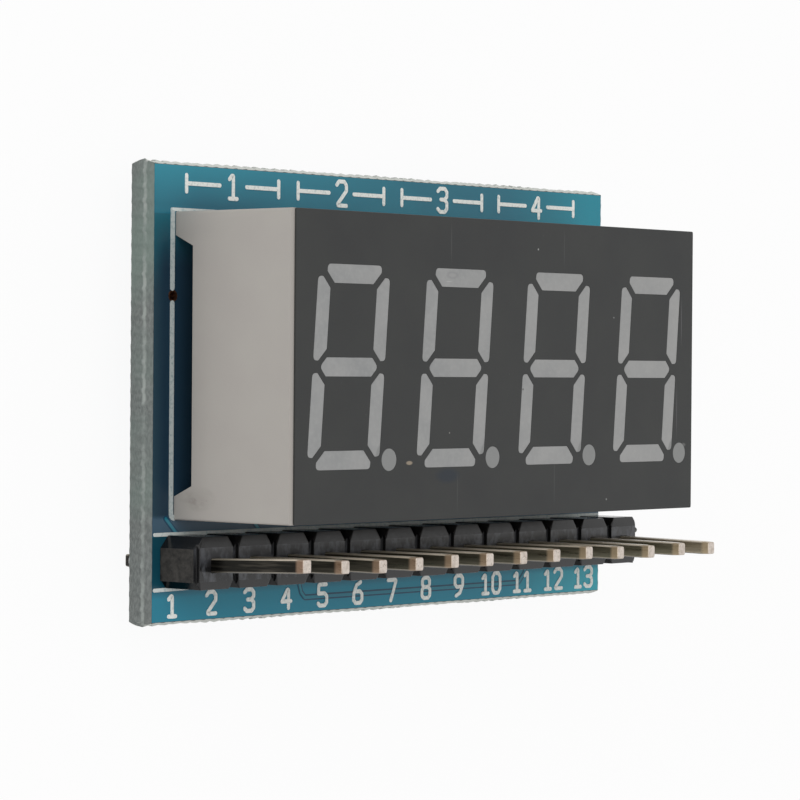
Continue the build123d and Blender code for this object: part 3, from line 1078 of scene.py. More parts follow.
@dataclass
class CarrierBoard:
    """The carrier board: coats, snapped edge, tracks, print and via."""

    edge_step: float = 0.13
    edge_lean: float = 0.13
    edge_proud: float = 0.012
    web_set_back: float = 0.06
    edge_hidden: float = 0.5
    score_depth: float = 0.48
    weave_pitch: float = 0.66
    edge_lap: int = 100
    via_edge_distance: float = 1.32
    via_rise: float = 3.17
    via_hole: float = 0.45
    via_pad: float = 0.55
    via_sides: int = 32
    silk_width: float = 0.26
    text_width: float = 0.19
    track_width: float = 0.15
    gap_width: float = 0.29
    label_height: float = 1.0
    label_base: float = 0.36
    label_shift: float = -0.5
    digit_number_height: float = 1.15
    digit_number_base: float = 8.98
    header_outline: float = 1.27
    header_line: float = 0.17
    header_line_shifts: Flat = (0.07, 0.1)
    print_margin: float = 0.12
    line_drift: float = 0.38
    display_clearance: float = 0.2
    top_clearance: float = 0.09
    top_width: float = 0.16
    path_step: float = 0.002

    def __post_init__(self) -> None:
        """Reads the places that the frame gives."""
        self.box = Box.of("board_laminate", "solder_mask_front", "solder_mask_back")
        self.display = Box.of("display_reflector")
        self.pins = [Box.of(name) for name in HEADER_PINS]
        self.via = Vector((self.box.low.x + self.via_edge_distance, self.display.centre.y + self.via_rise, 0))
        self.laminate = Laminate("glass_laminate", ridge_at=self.box.high.z - self.score_depth)
        self.mask = Mask("front_mask", fields=self.tones())

    def tones(self) -> tuple[ToneField, ...]:
        """Fields of other tone on the front mask: painted shade under, beside and below the display, painted
        light near the top edge and the right end, a brighter tone below the header and a darker one at the
        strip's left end.
        """
        low, high = self.box.low, self.box.high
        top, bottom = self.display.high.y, self.display.low.y
        header = self.pins[0].centre.y
        upper, lower = header + self.header_outline, header - self.header_outline
        left, right, under, over = low.x - 1, high.x + 1, low.y - 1, high.y + 1
        hard = 0.01
        return (
            # painted light near the board's top edge, at the left
            ToneField((left, high.y - 1.9), (2, over), (hard, 1.9), (14, hard), (46, 150, 171), 0.8),
            # painted light at the right end, above the display
            ToneField((high.x - 9, top), (right, over), (8, 0.2), (hard, hard), (2, 140, 159), 0.85),
            # a brighter tone on the strip below the header's lower line
            ToneField((left, under), (right, lower), (hard, hard), (hard, 0.3), (12, 131, 156), 0.8),
            # painted light at the right end of that strip
            ToneField((high.x - 8, under), (right, lower), (8, hard), (hard, 0.3), (56, 176, 192), 0.9),
            # painted shade under and beside the display, down to the header's upper line
            ToneField((left, upper), (right, top - 0.1), (hard, 0.05), (hard, 0.08), (40, 68, 82)),
            # painted shade and reflection beside the display, darker downwards
            ToneField((left, top - 3.6), (right, top - 0.1), (hard, 3.4), (hard, 0.08), (26, 104, 120), 0.9),
            # painted shadow of the display
            ToneField((low.x + 0.1, upper), (right, top), (0.7, 0.05), (hard, 2.6), (33, 56, 73)),
            # painted shade between the display and the header
            ToneField((left, upper), (right, bottom + 0.25), (hard, 0.05), (hard, 0.2), (53, 85, 106)),
            # a darker tone between the header lines at the strip's left end
            ToneField((left, lower), (self.pins[0].high.x, upper), (hard, 0.05), (hard, 0.05), (18, 72, 88)),
        )

    def surface(self, side: Side, layer: Layer) -> float:
        """The height of the middle of a layer on one side of the board."""
        coat = self.box.high.z if side is Side.FRONT else self.box.low.z
        return coat + side.value * layer.value / 4

    def lines(
        self,
        name: str,
        paths: list[list[Flat]],
        side: Side,
        layer: Layer,
        width: float,
        finish: Finish,
        corner: float = 0.8,
    ) -> None:
        """Lays lines on the board.

        Args:
            name: the piece's name.
            paths: the lines' paths across the board.
            side: the side that they lie on.
            layer: what they are, which sets their height.
            width: their width.
            finish: how they look.
            corner: the radius at their corners, as a share of their width.
        """
        level = self.surface(side, layer)
        shifts = [side.value * self.path_step * (i % 5) for i in range(len(paths))]
        raised = [[Vector((x, y, level + up)) for x, y in path] for up, path in zip(shifts, paths)]
        tree = LinePattern(name, width, layer.value, corner * width, finish)
        add_piece(name, tree.grow(path_mesh(raised)), finish)

    def figures(self, text: str, x: float, base: float, height: float) -> list[list[Flat]]:
        """The strokes of a number, centred on a place along X."""
        advance = 0.86 * height
        left = x - ((len(text) - 1) * advance + 0.6 * height) / 2
        made = []
        for i, figure in enumerate(text):
            for stroke in NUMERALS[figure]:
                made.append([(left + i * advance + u * height, base + v * height) for u, v in stroke])
        return made

    def snapped_edge(self) -> None:
        """The rough glass edge: two scored flanks, the broken web and the weave's bumps along it."""
        low, high = self.box.low, self.box.high
        corners = [(low.x, low.y), (high.x, low.y), (high.x, high.y), (low.x, high.y)]
        samples = []
        for i, (x0, y0) in enumerate(corners):
            x1, y1 = corners[(i + 1) % 4]
            run = math.hypot(x1 - x0, y1 - y0)
            count = round(run / self.edge_step)
            normal = ((y1 - y0) / run, (x0 - x1) / run)
            before = ((y0 - corners[i - 1][1]), (corners[i - 1][0] - x0))
            size = math.hypot(*before)
            for k in range(count):
                out = normal if k else (normal[0] + before[0] / size, normal[1] + before[1] / size)
                x, y = x0 + (x1 - x0) * k / count, y0 + (y1 - y0) * k / count
                samples.append((x, y, *out, i * self.edge_lap + run * k / count))
        lip, web = -self.edge_lean + self.edge_proud, self.edge_proud - self.web_set_back
        slope = self.edge_proud - self.edge_lean / 2
        middle = self.box.centre.z
        profile = [
            (-self.edge_hidden, low.z + 0.06, 0.0),
            (lip + 0.01, low.z + 0.012, 0.01),
            (slope, low.z + self.score_depth / 2, 0.02),
            (web, low.z + self.score_depth, 0.04),
            (web, middle - 0.1, 0.055),
            (web, middle + 0.1, 0.055),
            (web, high.z - self.score_depth, 0.045),
            (slope, high.z - self.score_depth / 2, 0.02),
            (lip + 0.01, high.z - 0.012, 0.01),
            (-self.edge_hidden, high.z - 0.06, 0.0),
        ]
        loops = []
        for k, (offset, z, rough) in enumerate(profile):
            loop = []
            for x, y, out_x, out_y, along in samples:
                fray = 0.4 + 0.7 * noise.noise(Vector((along / 0.24, k * 0.9, 3.1)))
                fray += 0.4 * noise.noise(Vector((along / 0.07, k * 2.3, 7.7)))
                bump = max(0.0, math.sin(2 * math.pi * along / self.weave_pitch))
                weave = 2.0 * bump if int(along // self.edge_lap) % 2 else 3.2 * bump - 0.8
                rise = offset + rough * max(0.0, fray + weave)
                loop.append(Vector((x + out_x * rise, y + out_y * rise, z)))
            loops.append(loop)
        draft = Draft()
        draft.loft(loops, ring=True)
        add_piece("snapped_edge", draft.data("snapped_edge"), self.laminate, crease=60)

    def via_rim(self) -> None:
        """The plated wall of the via and its rim on each side."""
        hole, pad = self.via_hole / 2, self.via_pad / 2
        low, high = self.box.low.z - 0.02, self.box.high.z + 0.02
        profile = [(hole - 0.03, low), (pad, low), (pad, low + 0.05), (hole + 0.01, low + 0.06)]
        profile += [(hole + 0.01, high - 0.06), (pad, high - 0.05), (pad, high), (hole - 0.03, high)]
        angles = [2 * math.pi * i / self.via_sides for i in range(self.via_sides)]
        loops = []
        for radius, z in profile:
            loops.append([self.via + Vector((radius * math.cos(a), radius * math.sin(a), z)) for a in angles])
        draft = Draft()
        draft.loft(loops, ring=True)
        add_piece("via_rim", draft.data("via_rim"), COPPER)

    def front_tracks(self) -> list[list[Flat]]:
        """The tracks that show beside the display and the header."""
        first, third, fourth = (self.pins[i].centre for i in (0, 2, 3))
        eleventh = self.pins[10].centre
        gap = self.display.low.y
        lane = first.y - 1.95
        below = [(fourth.x, fourth.y), (fourth.x + 0.55, lane + 0.25), (fourth.x + 0.8, lane)]
        below += [(eleventh.x - 0.8, lane), (eleventh.x - 0.3, lane + 0.5), (eleventh.x, eleventh.y)]
        return [
            [(self.via.x - 0.36, gap + 0.07), (first.x - 0.14, first.y + 1.27), (first.x, first.y + 0.3)],
            [(third.x - 1.0, gap + 0.55), (third.x + 0.15, gap - 0.6), (third.x, first.y)],
            below,
        ]

    def print_front(self) -> None:
        """The outlines of the display and the header, the pin numbers and the digit numbers."""
        low, high = self.display.low, self.display.high
        out = self.display_clearance
        left, right, bottom, top = low.x - out, high.x + out, low.y + 0.1, high.y + self.top_clearance
        break_high, break_low = self.via.y + self.via_pad / 2 + 0.08, self.via.y - self.via_pad / 2 - 0.06
        lines = [
            [(left, break_low), (left, bottom), (low.x - 0.02, bottom)],
            [(left, top - 0.05), (left, break_high)],
            [(right, top - 0.05), (right, bottom), (high.x + 0.02, bottom)],
        ]
        self.lines("outline_print", lines, Side.FRONT, Layer.SILK, self.silk_width, SHADED_SILK, 1.0)
        header = self.pins[0].centre.y
        edge = self.edge_lean + self.print_margin
        upper = header + self.header_outline + self.header_line_shifts[0]
        lower = header - self.header_outline + self.header_line_shifts[1]
        start, stop = self.box.low.x + edge, self.box.high.x - edge
        rows = [[(start, upper), (stop, upper)], [(start, lower), (stop, lower + self.line_drift)]]
        self.lines("header_print", rows, Side.FRONT, Layer.SILK, self.header_line, SILK)
        edge_line = [[(left - 0.05, top), (right + 0.05, top)]]
        self.lines("top_outline_print", edge_line, Side.FRONT, Layer.SILK, self.top_width, SILK)
        text = []
        base = self.box.low.y + self.label_base
        for i, pin in enumerate(self.pins):
            text += self.figures(str(i + 1), pin.centre.x + self.label_shift, base, self.label_height)
        base, height = self.digit_number_base, self.digit_number_height
        middle = base + height / 2
        step = self.display.size.x / len(DIGITS)
        for i in range(len(DIGITS)):
            x = self.display.low.x + (i + 0.5) * step
            text += self.figures(str(i + 1), x, base, height)
            for way in (1, -1):
                stop = x + way * 0.41 * step
                text.append([(x + way * 0.12 * step, middle), (stop, middle)])
                text.append([(stop, base + 0.2), (stop, base + height - 0.2)])
        self.lines("number_print", text, Side.FRONT, Layer.SILK, self.text_width, LIT_NUMBER_SILK, 0.3)

    def build(self) -> None:
        """Builds and dresses the board."""
        dress(self.laminate, "board_laminate")
        dress(self.mask, "solder_mask_front")
        dress(BACK_MASK, "solder_mask_back")
        self.snapped_edge()
        self.via_rim()
        tracks = self.front_tracks()
        self.lines("track_gaps", tracks, Side.FRONT, Layer.GAP, self.gap_width, GAP_MASK)
        self.lines("front_tracks", tracks, Side.FRONT, Layer.TRACK, self.track_width, TRACK_MASK)
        self.print_front()


@dataclass
class PinHeader:
    """The header: its moulded strip with broken ends, and the row of square pins."""

    size: float = 0.64
    tip_size: Flat = (0.5, 0.57)
    tip_length: float = 0.45
    edge: float = 0.1
    pitch: float = 2.54
    strip_edge: float = 0.025
    crown_height: float = 2.3
    slot_depth: float = 0.2
    slot_half: float = 0.18
    foot: Flat = (-1.09, 1.3)
    upper_cut: Flat = (0.48, 0.55)
    lower_cut: Flat = (0.36, 0.42)
    upper_bevel: Flat = (0.47, 0.06)
    lower_bevel: Flat = (0.36, 0.1)
    bore: float = 0.645
    bore_cut: float = 0.03
    least_corner: float = 0.05
    overlap: float = 0.005
    seam_reach: float = 0.02
    sway: float = 0.2
    leans: tuple[float, ...] = (0.2, 0.045, 0, 0, 0.035, 0, 0, 0, 0.045, -0.055, -0.07, -0.045, -0.09)
    break_depth: float = 0.05
    left_break: Flat = (0.75, 2.05)
    right_break: Flat = (1.12, 2.10)
    break_rings: tuple[float, ...] = (1.0, 0.82, 0.6, 0.38, 0.18, 0.04)
    break_root: float = -0.03
    flake_at: tuple[float, float, float] = (0.0, 0.6, 2.2)
    flake_rings: tuple[Flat, ...] = ((-0.03, 0.13), (0.05, 0.14), (0.13, 0.09), (0.21, 0.03))
    flake_sides: int = 9

    def __post_init__(self) -> None:
        """Reads the places that the frame gives."""
        self.boxes = [Box.of(name) for name in HEADER_PINS]
        self.strip = Box.of("header_insulator")

    def section(self, across: float, high: float, z: float) -> list[Vector]:
        """A rectangular section with rounded corners."""
        x, y = across / 2, high / 2
        corners = [(x, -y), (x, y), (-x, y), (-x, -y)]
        return rounded([Vector((u, v, z)) for u, v in corners], self.edge, 6)

    def pin_shape(self) -> bpy.types.Mesh:
        """One pin, with its middle at the origin."""
        half = self.boxes[0].size.z / 2
        shoulder = half - self.tip_length
        across, high = self.tip_size
        square = (self.size, self.size)
        rows = [
            (across - 0.03, high - 0.03, -half + 0.015),
            (across, high, -half + 0.045),
            (*square, -shoulder),
            (*square, self.strip.low.z + self.crown_height - self.boxes[0].centre.z),
            (*square, shoulder),
            (across + 0.03, high + 0.03, half - 0.03),
            (across - 0.02, high - 0.02, half),
        ]
        draft = Draft()
        draft.loft([self.section(*row) for row in rows])
        return draft.data("pin_shape")

    def bend(self, data: bpy.types.Mesh) -> None:
        """Leans each pin from where it leaves the strip, as handling has bent it."""
        start, top = self.strip.low.z + self.crown_height, self.boxes[0].high.z
        for point in data.vertices:
            place = point.co / MM
            pin = round((place.x - self.boxes[0].centre.x) / self.pitch)
            point.co.y += self.leans[pin] * max(0.0, place.z - start) / (top - start) * MM

    def pins(self) -> None:
        """The row of pins, none of them quite straight."""
        span = (self.boxes[0].low.x, self.boxes[-1].high.x)
        finish = PinPlating("pin_plating", self.boxes[0].high.z, self.tip_length, span)
        tree = PlantedPattern("pin_row", self.pin_shape(), self.sway, finish)
        data = tree.grow(point_mesh(box.centre for box in self.boxes))
        self.bend(data)
        add_piece("header_pins", data, finish, HEADER_PINS, crease=12)

    def cell_outline(self, half: float, low: float, high: float) -> list[Flat]:
        """The outline of a cell at one height: a box whose corners lie on the cuts between the cells.

        Args:
            half: half its length along the strip.
            low: its lower side.
            high: its upper side.

        Returns:
            Eight corners, anticlockwise from the lower right.
        """
        sides = ((low, self.foot[0], -1, self.lower_cut), (high, self.foot[1], 1, self.upper_cut))
        least = self.least_corner
        rows = []
        for edge, limit, way, (across, deep) in sides:
            sunk = (limit - edge) * way
            near = min(half - least, self.pitch / 2 - across + across * sunk / deep)
            share = (half - self.pitch / 2 + across) / across
            rows.append((near, edge, min(edge * way - least, limit * way - deep * share) * way))
        (low_x, low_y, low_turn), (high_x, high_y, high_turn) = rows
        right = [(low_x, low_y), (half, low_turn), (half, high_turn), (high_x, high_y)]
        return right + [(-x, y) for x, y in reversed(right)]

    def cell_shape(self) -> bpy.types.Mesh:
        """One cell of the strip with its bore, its pin's axis at the origin and its foot at zero."""
        low, high = self.foot
        crown, floor = self.crown_height, self.crown_height - self.slot_depth
        joined, apart = self.pitch / 2 + self.overlap, self.pitch / 2 - self.slot_half
        loops = []
        for half, z in ((joined, 0.0), (joined, floor), (apart, floor)):
            loops.append([Vector((x, y, z)) for x, y in self.cell_outline(half, low, high)])
        drops = {True: self.upper_bevel[1], False: self.lower_bevel[1]}
        loops.append([Vector((x, y, crown - drops[y > 0])) for x, y in self.cell_outline(apart, low, high)])
        flat = self.cell_outline(apart, low + self.lower_bevel[0], high - self.upper_bevel[0])
        loops.append([Vector((x, y, crown)) for x, y in flat])
        wall, cut = self.bore / 2, self.bore / 2 - self.bore_cut
        half_hole = [(cut, -wall), (wall, -cut), (wall, cut), (cut, wall)]
        hole = half_hole + [(-x, -y) for x, y in half_hole]
        loops += [[Vector((x, y, z)) for x, y in hole] for z in (crown, 0.0)]
        draft = Draft()
        draft.loft(loops, ring=True)
        return draft.data("cell_shape")

    def seam(self, edge: bmesh.types.BMEdge) -> bool:
        """Whether an edge lies where two cells join."""
        first, limit = self.boxes[0].centre.x, self.seam_reach / self.pitch
        places = [(vert.co.x / MM - first) / self.pitch + 0.5 for vert in edge.verts]
        return all(place > 0.5 and abs(place - round(place)) < limit for place in places)

    def moulded_strip(self) -> None:
        """The strip: a row of joined cells, broken off short at its right end."""
        finish = HeaderStrip(
            "header_strip",
            colour=(16, 16, 17),
            cloud=(22, 22, 23),
            cloud_grain=1.1,
            grain=0.07,
            flow=(1, 0.3, 1),
            depth=0.001,
            roughness=0.17,
            specular=0.34,
            pin_row=self.boxes[0].centre.y,
        )
        places = [Vector((box.centre.x, box.centre.y, self.strip.low.z)) for box in self.boxes]
        data = PlantedPattern("strip_cells", self.cell_shape(), 0.0, finish).grow(point_mesh(places))
        cells = bmesh.new()
        cells.from_mesh(data)
        end = Vector((self.strip.high.x * MM, 0, 0))
        geometry = [*cells.verts, *cells.edges, *cells.faces]
        bmesh.ops.bisect_plane(cells, geom=geometry, plane_co=end, plane_no=(1, 0, 0), clear_outer=True)
        rim = [edge for edge in cells.edges if edge.is_boundary]
        bmesh.ops.holes_fill(cells, edges=rim, sides=0)
        bmesh.ops.remove_doubles(cells, verts=cells.verts, dist=1e-4 * MM)
        bmesh.ops.dissolve_degenerate(cells, dist=1e-3 * MM, edges=cells.edges)
        ease_edges(cells, [edge for edge in folds(cells, 8) if not self.seam(edge)], self.strip_edge)
        bmesh.ops.recalc_face_normals(cells, faces=cells.faces)
        cells.to_mesh(data)
        cells.free()
        add_piece("moulded_strip", data, finish, ["header_insulator"], crease=5)

    def broken_end(self, side: int) -> list[list[Vector]]:
        """The torn plastic at one end of the strip, as loops from the strip outwards."""
        x = self.strip.high.x if side > 0 else self.strip.low.x
        half_width, height = self.right_break if side > 0 else self.left_break
        y, z = self.strip.centre.y, self.strip.low.z
        across, up = 12, 16
        loops = []
        for out in (self.break_root, 1.0):
            rim = [(-1 + 2 * i / across, 0.0) for i in range(across)]
            rim += [(1.0, i / up) for i in range(up)]
            rim += [(1 - 2 * i / across, 1.0) for i in range(across)]
            rim += [(-1.0, 1 - i / up) for i in range(up)]
            for shrink in self.break_rings[:1] if out < 0 else self.break_rings:
                loop = []
                for u, v in rim:
                    u, v = u * shrink, 0.5 + (v - 0.5) * shrink
                    rough = 0.45 + 0.55 * noise.noise(Vector((u * 3.1, v * 5.3, side * 9.0)))
                    rough += 0.3 * noise.noise(Vector((u * 9, v * 14, side * 5.0)))
                    rise = out * self.break_depth * (max(0.06, rough) if out > 0 else 1.0)
                    loop.append(Vector((x + side * rise, y + u * half_width, z + 0.04 + v * height)))
                loops.append(loop)
        return loops

    def flake(self) -> None:
        """The pale flake that the break left standing on the strip's right end."""
        root = Vector((self.strip.high.x, self.boxes[0].centre.y, self.strip.low.z)) + Vector(self.flake_at)
        loops = []
        for out, reach in self.flake_rings:
            loop = []
            for i in range(self.flake_sides):
                angle = 2 * math.pi * i / self.flake_sides
                size = reach * (1 + 0.5 * noise.noise(Vector((i * 0.8, out * 11, 2.0))))
                loop.append(root + Vector((out, size * math.cos(angle), size * math.sin(angle))))
            loops.append(loop)
        draft = Draft()
        draft.loft(loops)
        add_piece("torn_flake", draft.data("torn_flake"), FLAKE, crease=40)

    def build(self) -> None:
        """Builds and dresses the header."""
        self.moulded_strip()
        for side, name in ((-1, "left_break"), (1, "right_break")):
            draft = Draft()
            draft.loft(self.broken_end(side))
            add_piece(name, draft.data(name), BREAK, crease=60)
        self.flake()
        self.pins()


@dataclass
class DigitDisplay:
    """The display: housing, printed face and the resin of its digits."""

    corner: float = 0.23
    blunt: float = 0.35
    face_corner: float = 0.1
    left_rim: float = 0.24
    resin_set_back: float = 0.012
    housing_edge: float = 0.05
    print_edge: float = 0.03
    dot_corners: int = 12
    dot_tone: Colour = (136, 137, 136)

    def __post_init__(self) -> None:
        """Reads the places that the frame gives."""
        self.face = Box.of("display_face")

    def marks(self) -> tuple[Mark, ...]:
        """Specks, scuffs and mould lines on the print, from the face's middle."""
        line, pale = (80, 80, 80), (118, 114, 118)
        return (
            Mark(-7.0, -4.37, 0.26, 0.11, (150, 138, 122), 1.0, 0.4),
            Mark(-4.25, -5.0, 1.0, 0.42, (44, 50, 57), 0.9, 0.5),
            Mark(-4.15, -3.02, 0.05, 0.05, (140, 138, 134)),
            Mark(2.38, 5.7, 0.06, 0.06, (170, 170, 168)),
            Mark(8.4, 2.53, 0.07, 0.05, (130, 130, 130)),
            Mark(7.9, -6.4, 0.06, 0.06, (150, 150, 148)),
            Mark(-4.1, 5.8, 0.04, 1.1, line, 0.7),
            Mark(-3.55, -5.8, 0.04, 1.1, line, 0.6),
            Mark(4.4, 5.8, 0.04, 1.1, line, 0.6),
            Mark(3.75, -5.3, 0.04, 1.6, line, 0.6),
            Mark(14.05, 2.4, 0.03, 1.4, pale, 0.6),
            Mark(13.7, -2.1, 0.03, 1.5, pale, 0.5),
            Mark(14.3, -3.8, 0.22, 0.12, (132, 132, 130), 0.5),
        )

    def stains(self) -> tuple[Mark, ...]:
        """Marks on the resin of the digits, from the face's middle."""
        return (
            Mark(-4.0, 4.3, 0.5, 0.22, (126, 126, 128), 0.4, 0.4),
            Mark(-4.0, 4.3, 0.36, 0.13, (160, 160, 159), 0.7, 0.5),
            Mark(-4.25, 4.0, 0.28, 0.025, (196, 196, 194), 0.5, 0.6),
            Mark(1.3, -1.0, 0.06, 0.07, (70, 70, 70), 0.9, 0.5),
        )

    def bars(self, node: str) -> list[tuple[list[Vector], list[Vector]]]:
        """The outlines of a digit's bars and dot at the face and at the floor of their wells.

        Args:
            node: the digit's node.

        Returns:
            For each, its upper and its lower corners in matching order, in millimetres.
        """
        copy = merged([node])
        top = max(vertex.co.z for vertex in copy.verts)
        made = []
        for face in copy.faces:
            if face.normal.z < 0.9 or abs(face.calc_center_median().z - top) > 0.01 * MM:
                continue
            upper, lower = [], []
            for corner in face.verts:
                ends = [edge.other_vert(corner) for edge in corner.link_edges if edge not in face.edges]
                upper.append(corner.co / MM)
                lower.append(min(ends, key=lambda end: end.co.z).co / MM)
            made.append((upper, lower))
        copy.free()
        return made

    def eased(self, points: list[Vector]) -> list[Vector]:
        """A bar's outline with rounded corners; a dot stays as it is."""
        return rounded(points, self.corner, 5, self.blunt) if len(points) < self.dot_corners else points

    def resin(self) -> list[list[Vector]]:
        """Fills every well with resin, and gives the outlines that the print leaves open."""
        middle = self.face.centre
        stains = list(self.stains())
        openings = []
        draft = Draft()
        for node in DIGITS:
            for upper, lower in self.bars(node):
                rim = self.eased(upper)
                if len(upper) >= self.dot_corners:
                    place = sum(upper, Vector()) / len(upper) - middle
                    stains.append(Mark(place.x, place.y, 1.0, 1.0, self.dot_tone, 0.8, 0.1))
                openings.append(rim)
                sunk = [point - Vector((0, 0, self.resin_set_back)) for point in rim]
                draft.loft([self.eased(lower), sunk])
        finish = SegmentResin("segment_resin", tuple(middle), tuple(stains))
        add_piece("digit_resin", draft.data("digit_resin"), finish, DIGITS)
        return openings

    def printed_face(self, openings: list[list[Vector]]) -> None:
        """The dark print as a thin plate, open at every segment.

        Args:
            openings: the segments' outlines.
        """
        low, high = self.face.low + Vector((self.left_rim, 0, 0)), self.face.high
        corners = [(low.x, low.y), (high.x, low.y), (high.x, high.y), (low.x, high.y)]
        rim = rounded([Vector((x, y, high.z)) for x, y in corners], self.face_corner, 5)
        flat = bpy.data.curves.new("face_outline", "CURVE")
        flat.dimensions = "2D"
        flat.fill_mode = "BOTH"
        flat.extrude = self.face.size.z / 2 - self.print_edge
        flat.bevel_depth = self.print_edge
        flat.bevel_resolution = 1
        flat.offset = -self.print_edge
        for outline in [rim, *openings]:
            spline = flat.splines.new("POLY")
            spline.points.add(len(outline) - 1)
            for point, place in zip(spline.points, outline):
                point.co = (place.x, place.y, 0, 1)
            spline.use_cyclic_u = True
        holder = bpy.data.objects.new("face_outline", flat)
        bpy.context.scene.collection.objects.link(holder)
        graph = bpy.context.evaluated_depsgraph_get()
        data = bpy.data.meshes.new_from_object(holder.evaluated_get(graph), depsgraph=graph)
        bpy.data.objects.remove(holder)
        data.transform(Matrix.Scale(MM, 4) @ Matrix.Translation((0, 0, self.face.centre.z)))
        finish = FacePrint("face_print", tuple(self.face.centre), self.marks())
        add_piece("printed_face", data, finish, ["display_face"])

    def build(self) -> None:
        """Builds and dresses the display."""
        box = Box.of("display_reflector")
        smudge = (box.low.x, box.low.y + 1.0, box.low.z + 1.5)
        side = DisplaySide("display_housing", (173, 169, 163), (170, 165, 160), smudge_at=smudge)
        housing = softened(["display_reflector"], self.housing_edge, "housing")
        add_piece("housing", housing, side, ["display_reflector"])
        self.printed_face(self.resin())
        dress(DIE, "led_chips")
        dress(CHIP_BOARD, "display_chip_board")
        dress(POTTING, "display_potting")
        dress(TIN, *DISPLAY_PINS)


@dataclass
class DriverSide:
    """The back of the board: solder joints, transistors, chip resistors and their tracks."""

    board: CarrierBoard
    chip_edge: float = 0.03
    package_edge: float = 0.04
    pad_margin: float = 0.42
    collar: float = 0.06
    bare_tip: float = 0.38
    track_width: float = 0.32
    gap_width: float = 0.56
    supply_level: float = 3.7
    lane_start: float = 9.6
    lane_pitch: float = 1.05
    lane_rises: tuple[float, ...] = (0.0, 1.3, 2.0, 2.7)
    wedge_sway: float = 0.4
    wedge_steps: int = 6
    chip_wedge: tuple[float, float, float] = (0.84, 0.36, 0.3)
    lead_wedge: tuple[float, float, float] = (0.5, 0.3, 0.14)
    glaze_depth: float = 0.07

    def fillet(self, width: float, run: float, height: float, way: int) -> bpy.types.Mesh:
        """A hollow wedge of solder that runs out from a terminal's end.

        Args:
            width: how wide it is at the terminal.
            run: how far it reaches out along Y.
            height: how high it climbs.
            way: 1 to run towards +Y and -1 towards -Y.

        Returns:
            The wedge, with the foot of the terminal's end face at the origin.
        """
        steps = self.wedge_steps
        loops = []
        for k in range(-1, steps + 1):
            out = max(0, k) / steps
            half = width / 2 + 0.05 * math.sin(math.pi * out) - (0.12 * width if k == steps else 0)
            high = height * (1 - out) ** 2 + 0.025
            y = way * (run * out if k >= 0 else -0.04)
            corners = [(half, 0.01), (half, -0.6 * high), (0.8 * half, -high), (-0.8 * half, -high)]
            corners += [(-half, -0.6 * high), (-half, 0.01)]
            loops.append([Vector((x, y, z)) for x, z in corners])
        draft = Draft()
        draft.loft(loops)
        return draft.data("fillet")

    def fillets(self, name: str, ends: list[Box], middle: float, wedge: tuple[float, float, float]) -> None:
        """Solder at the outer end of every terminal of a row.

        Args:
            name: the pieces' name.
            ends: the terminals' boxes.
            middle: the row's middle along Y; the terminals above it run up and the others down.
            wedge: how wide each wedge is, how far it reaches out and how high it climbs.
        """
        for way, place in ((1, "upper"), (-1, "lower")):
            chosen = [end for end in ends if (end.centre.y - middle) * way > 0]
            sides = [(end.high if way > 0 else end.low).y for end in chosen]
            points = [Vector((end.centre.x, side, end.high.z)) for end, side in zip(chosen, sides)]
            tree = PlantedPattern(f"{place}_{name}", self.fillet(*wedge, way), self.wedge_sway, SOLDER)
            add_piece(f"{place}_{name}", tree.grow(point_mesh(points)), SOLDER, crease=50)

    def tracks(self) -> list[list[Flat]]:
        """The tracks on the back: pins to resistors, resistors to the display and to the transistors."""
        ends = islands("resistor_terminals")
        feet = islands("transistor_leads")
        lower = [(end.centre.x, end.low.y) for end in ends[0::2]]
        upper = [(end.centre.x, end.high.y) for end in ends[1::2]]
        row = self.board.pins[0].centre.y
        bases = [(foot.centre.x, foot.high.y) for foot in feet[0::3]]
        emitters = [(foot.centre.x, foot.high.y) for foot in feet[2::3]]
        pins = [Box.of(name).centre for name in DISPLAY_PINS]
        made = [[(x, y), (x, row)] for x, y in lower]
        for (x, y), pin in zip(upper[4:8], pins[2:6]):
            made.append([(x, y), (x, y + 0.3), (pin.x, y + 0.3 + pin.x - x), (pin.x, pin.y)])
        for k, ((x, y), pin) in enumerate(zip(upper[8:12], pins[6:10])):
            lane, rise = self.lane_start + self.lane_pitch * k, pin.y + self.lane_rises[k]
            jog = y + 0.6 + abs(x - lane)
            made.append([(x, y), (x, y + 0.6), (lane, jog), (lane, rise - 0.7), (lane - 0.7, rise)])
            made[-1] += [(pin.x + 0.7, rise), (pin.x, rise - 0.7), (pin.x, pin.y)] if k else [(pin.x, pin.y)]
        (x, y), (base_x, base_y) = upper[0], bases[0]
        made.append([(x, y), (x, base_y - 0.8), (x + 0.8, base_y), (base_x, base_y)])
        (x, y), (base_x, base_y) = upper[1], bases[1]
        made.append([(x, y), (x, -2.9), (x + 0.7, -2.2), (base_x - 1.7, -2.2), (base_x - 1.2, -1.7)])
        made[-1] += [(base_x - 1.2, base_y - 0.6), (base_x - 0.6, base_y), (base_x, base_y)]
        first = self.board.pins[0].centre.x
        level = self.supply_level
        made.append([(first, row), (first, level - 0.7), (first + 0.7, level), (emitters[-1][0], level)])
        made += [[(x, y), (x, level)] for x, y in emitters]
        return made

    def joints(self, name: str, pins: list[str], node: str) -> None:
        """The solder joints of one row of pins.

        Args:
            name: the piece's name.
            pins: the pins' nodes.
            node: the joints' own node.
        """
        boxes = [Box.of(pin) for pin in pins]
        half = boxes[0].size.x / math.sqrt(2)
        back = self.board.box.low.z
        height = back - boxes[0].low.z - self.bare_tip
        places = [Vector((box.centre.x, box.centre.y, back + 0.004)) for box in boxes]
        tree = SolderPattern(name, half + self.pad_margin, half + self.collar, height, SOLDER)
        add_piece(name, tree.grow(point_mesh(places)), SOLDER, [node], crease=50)

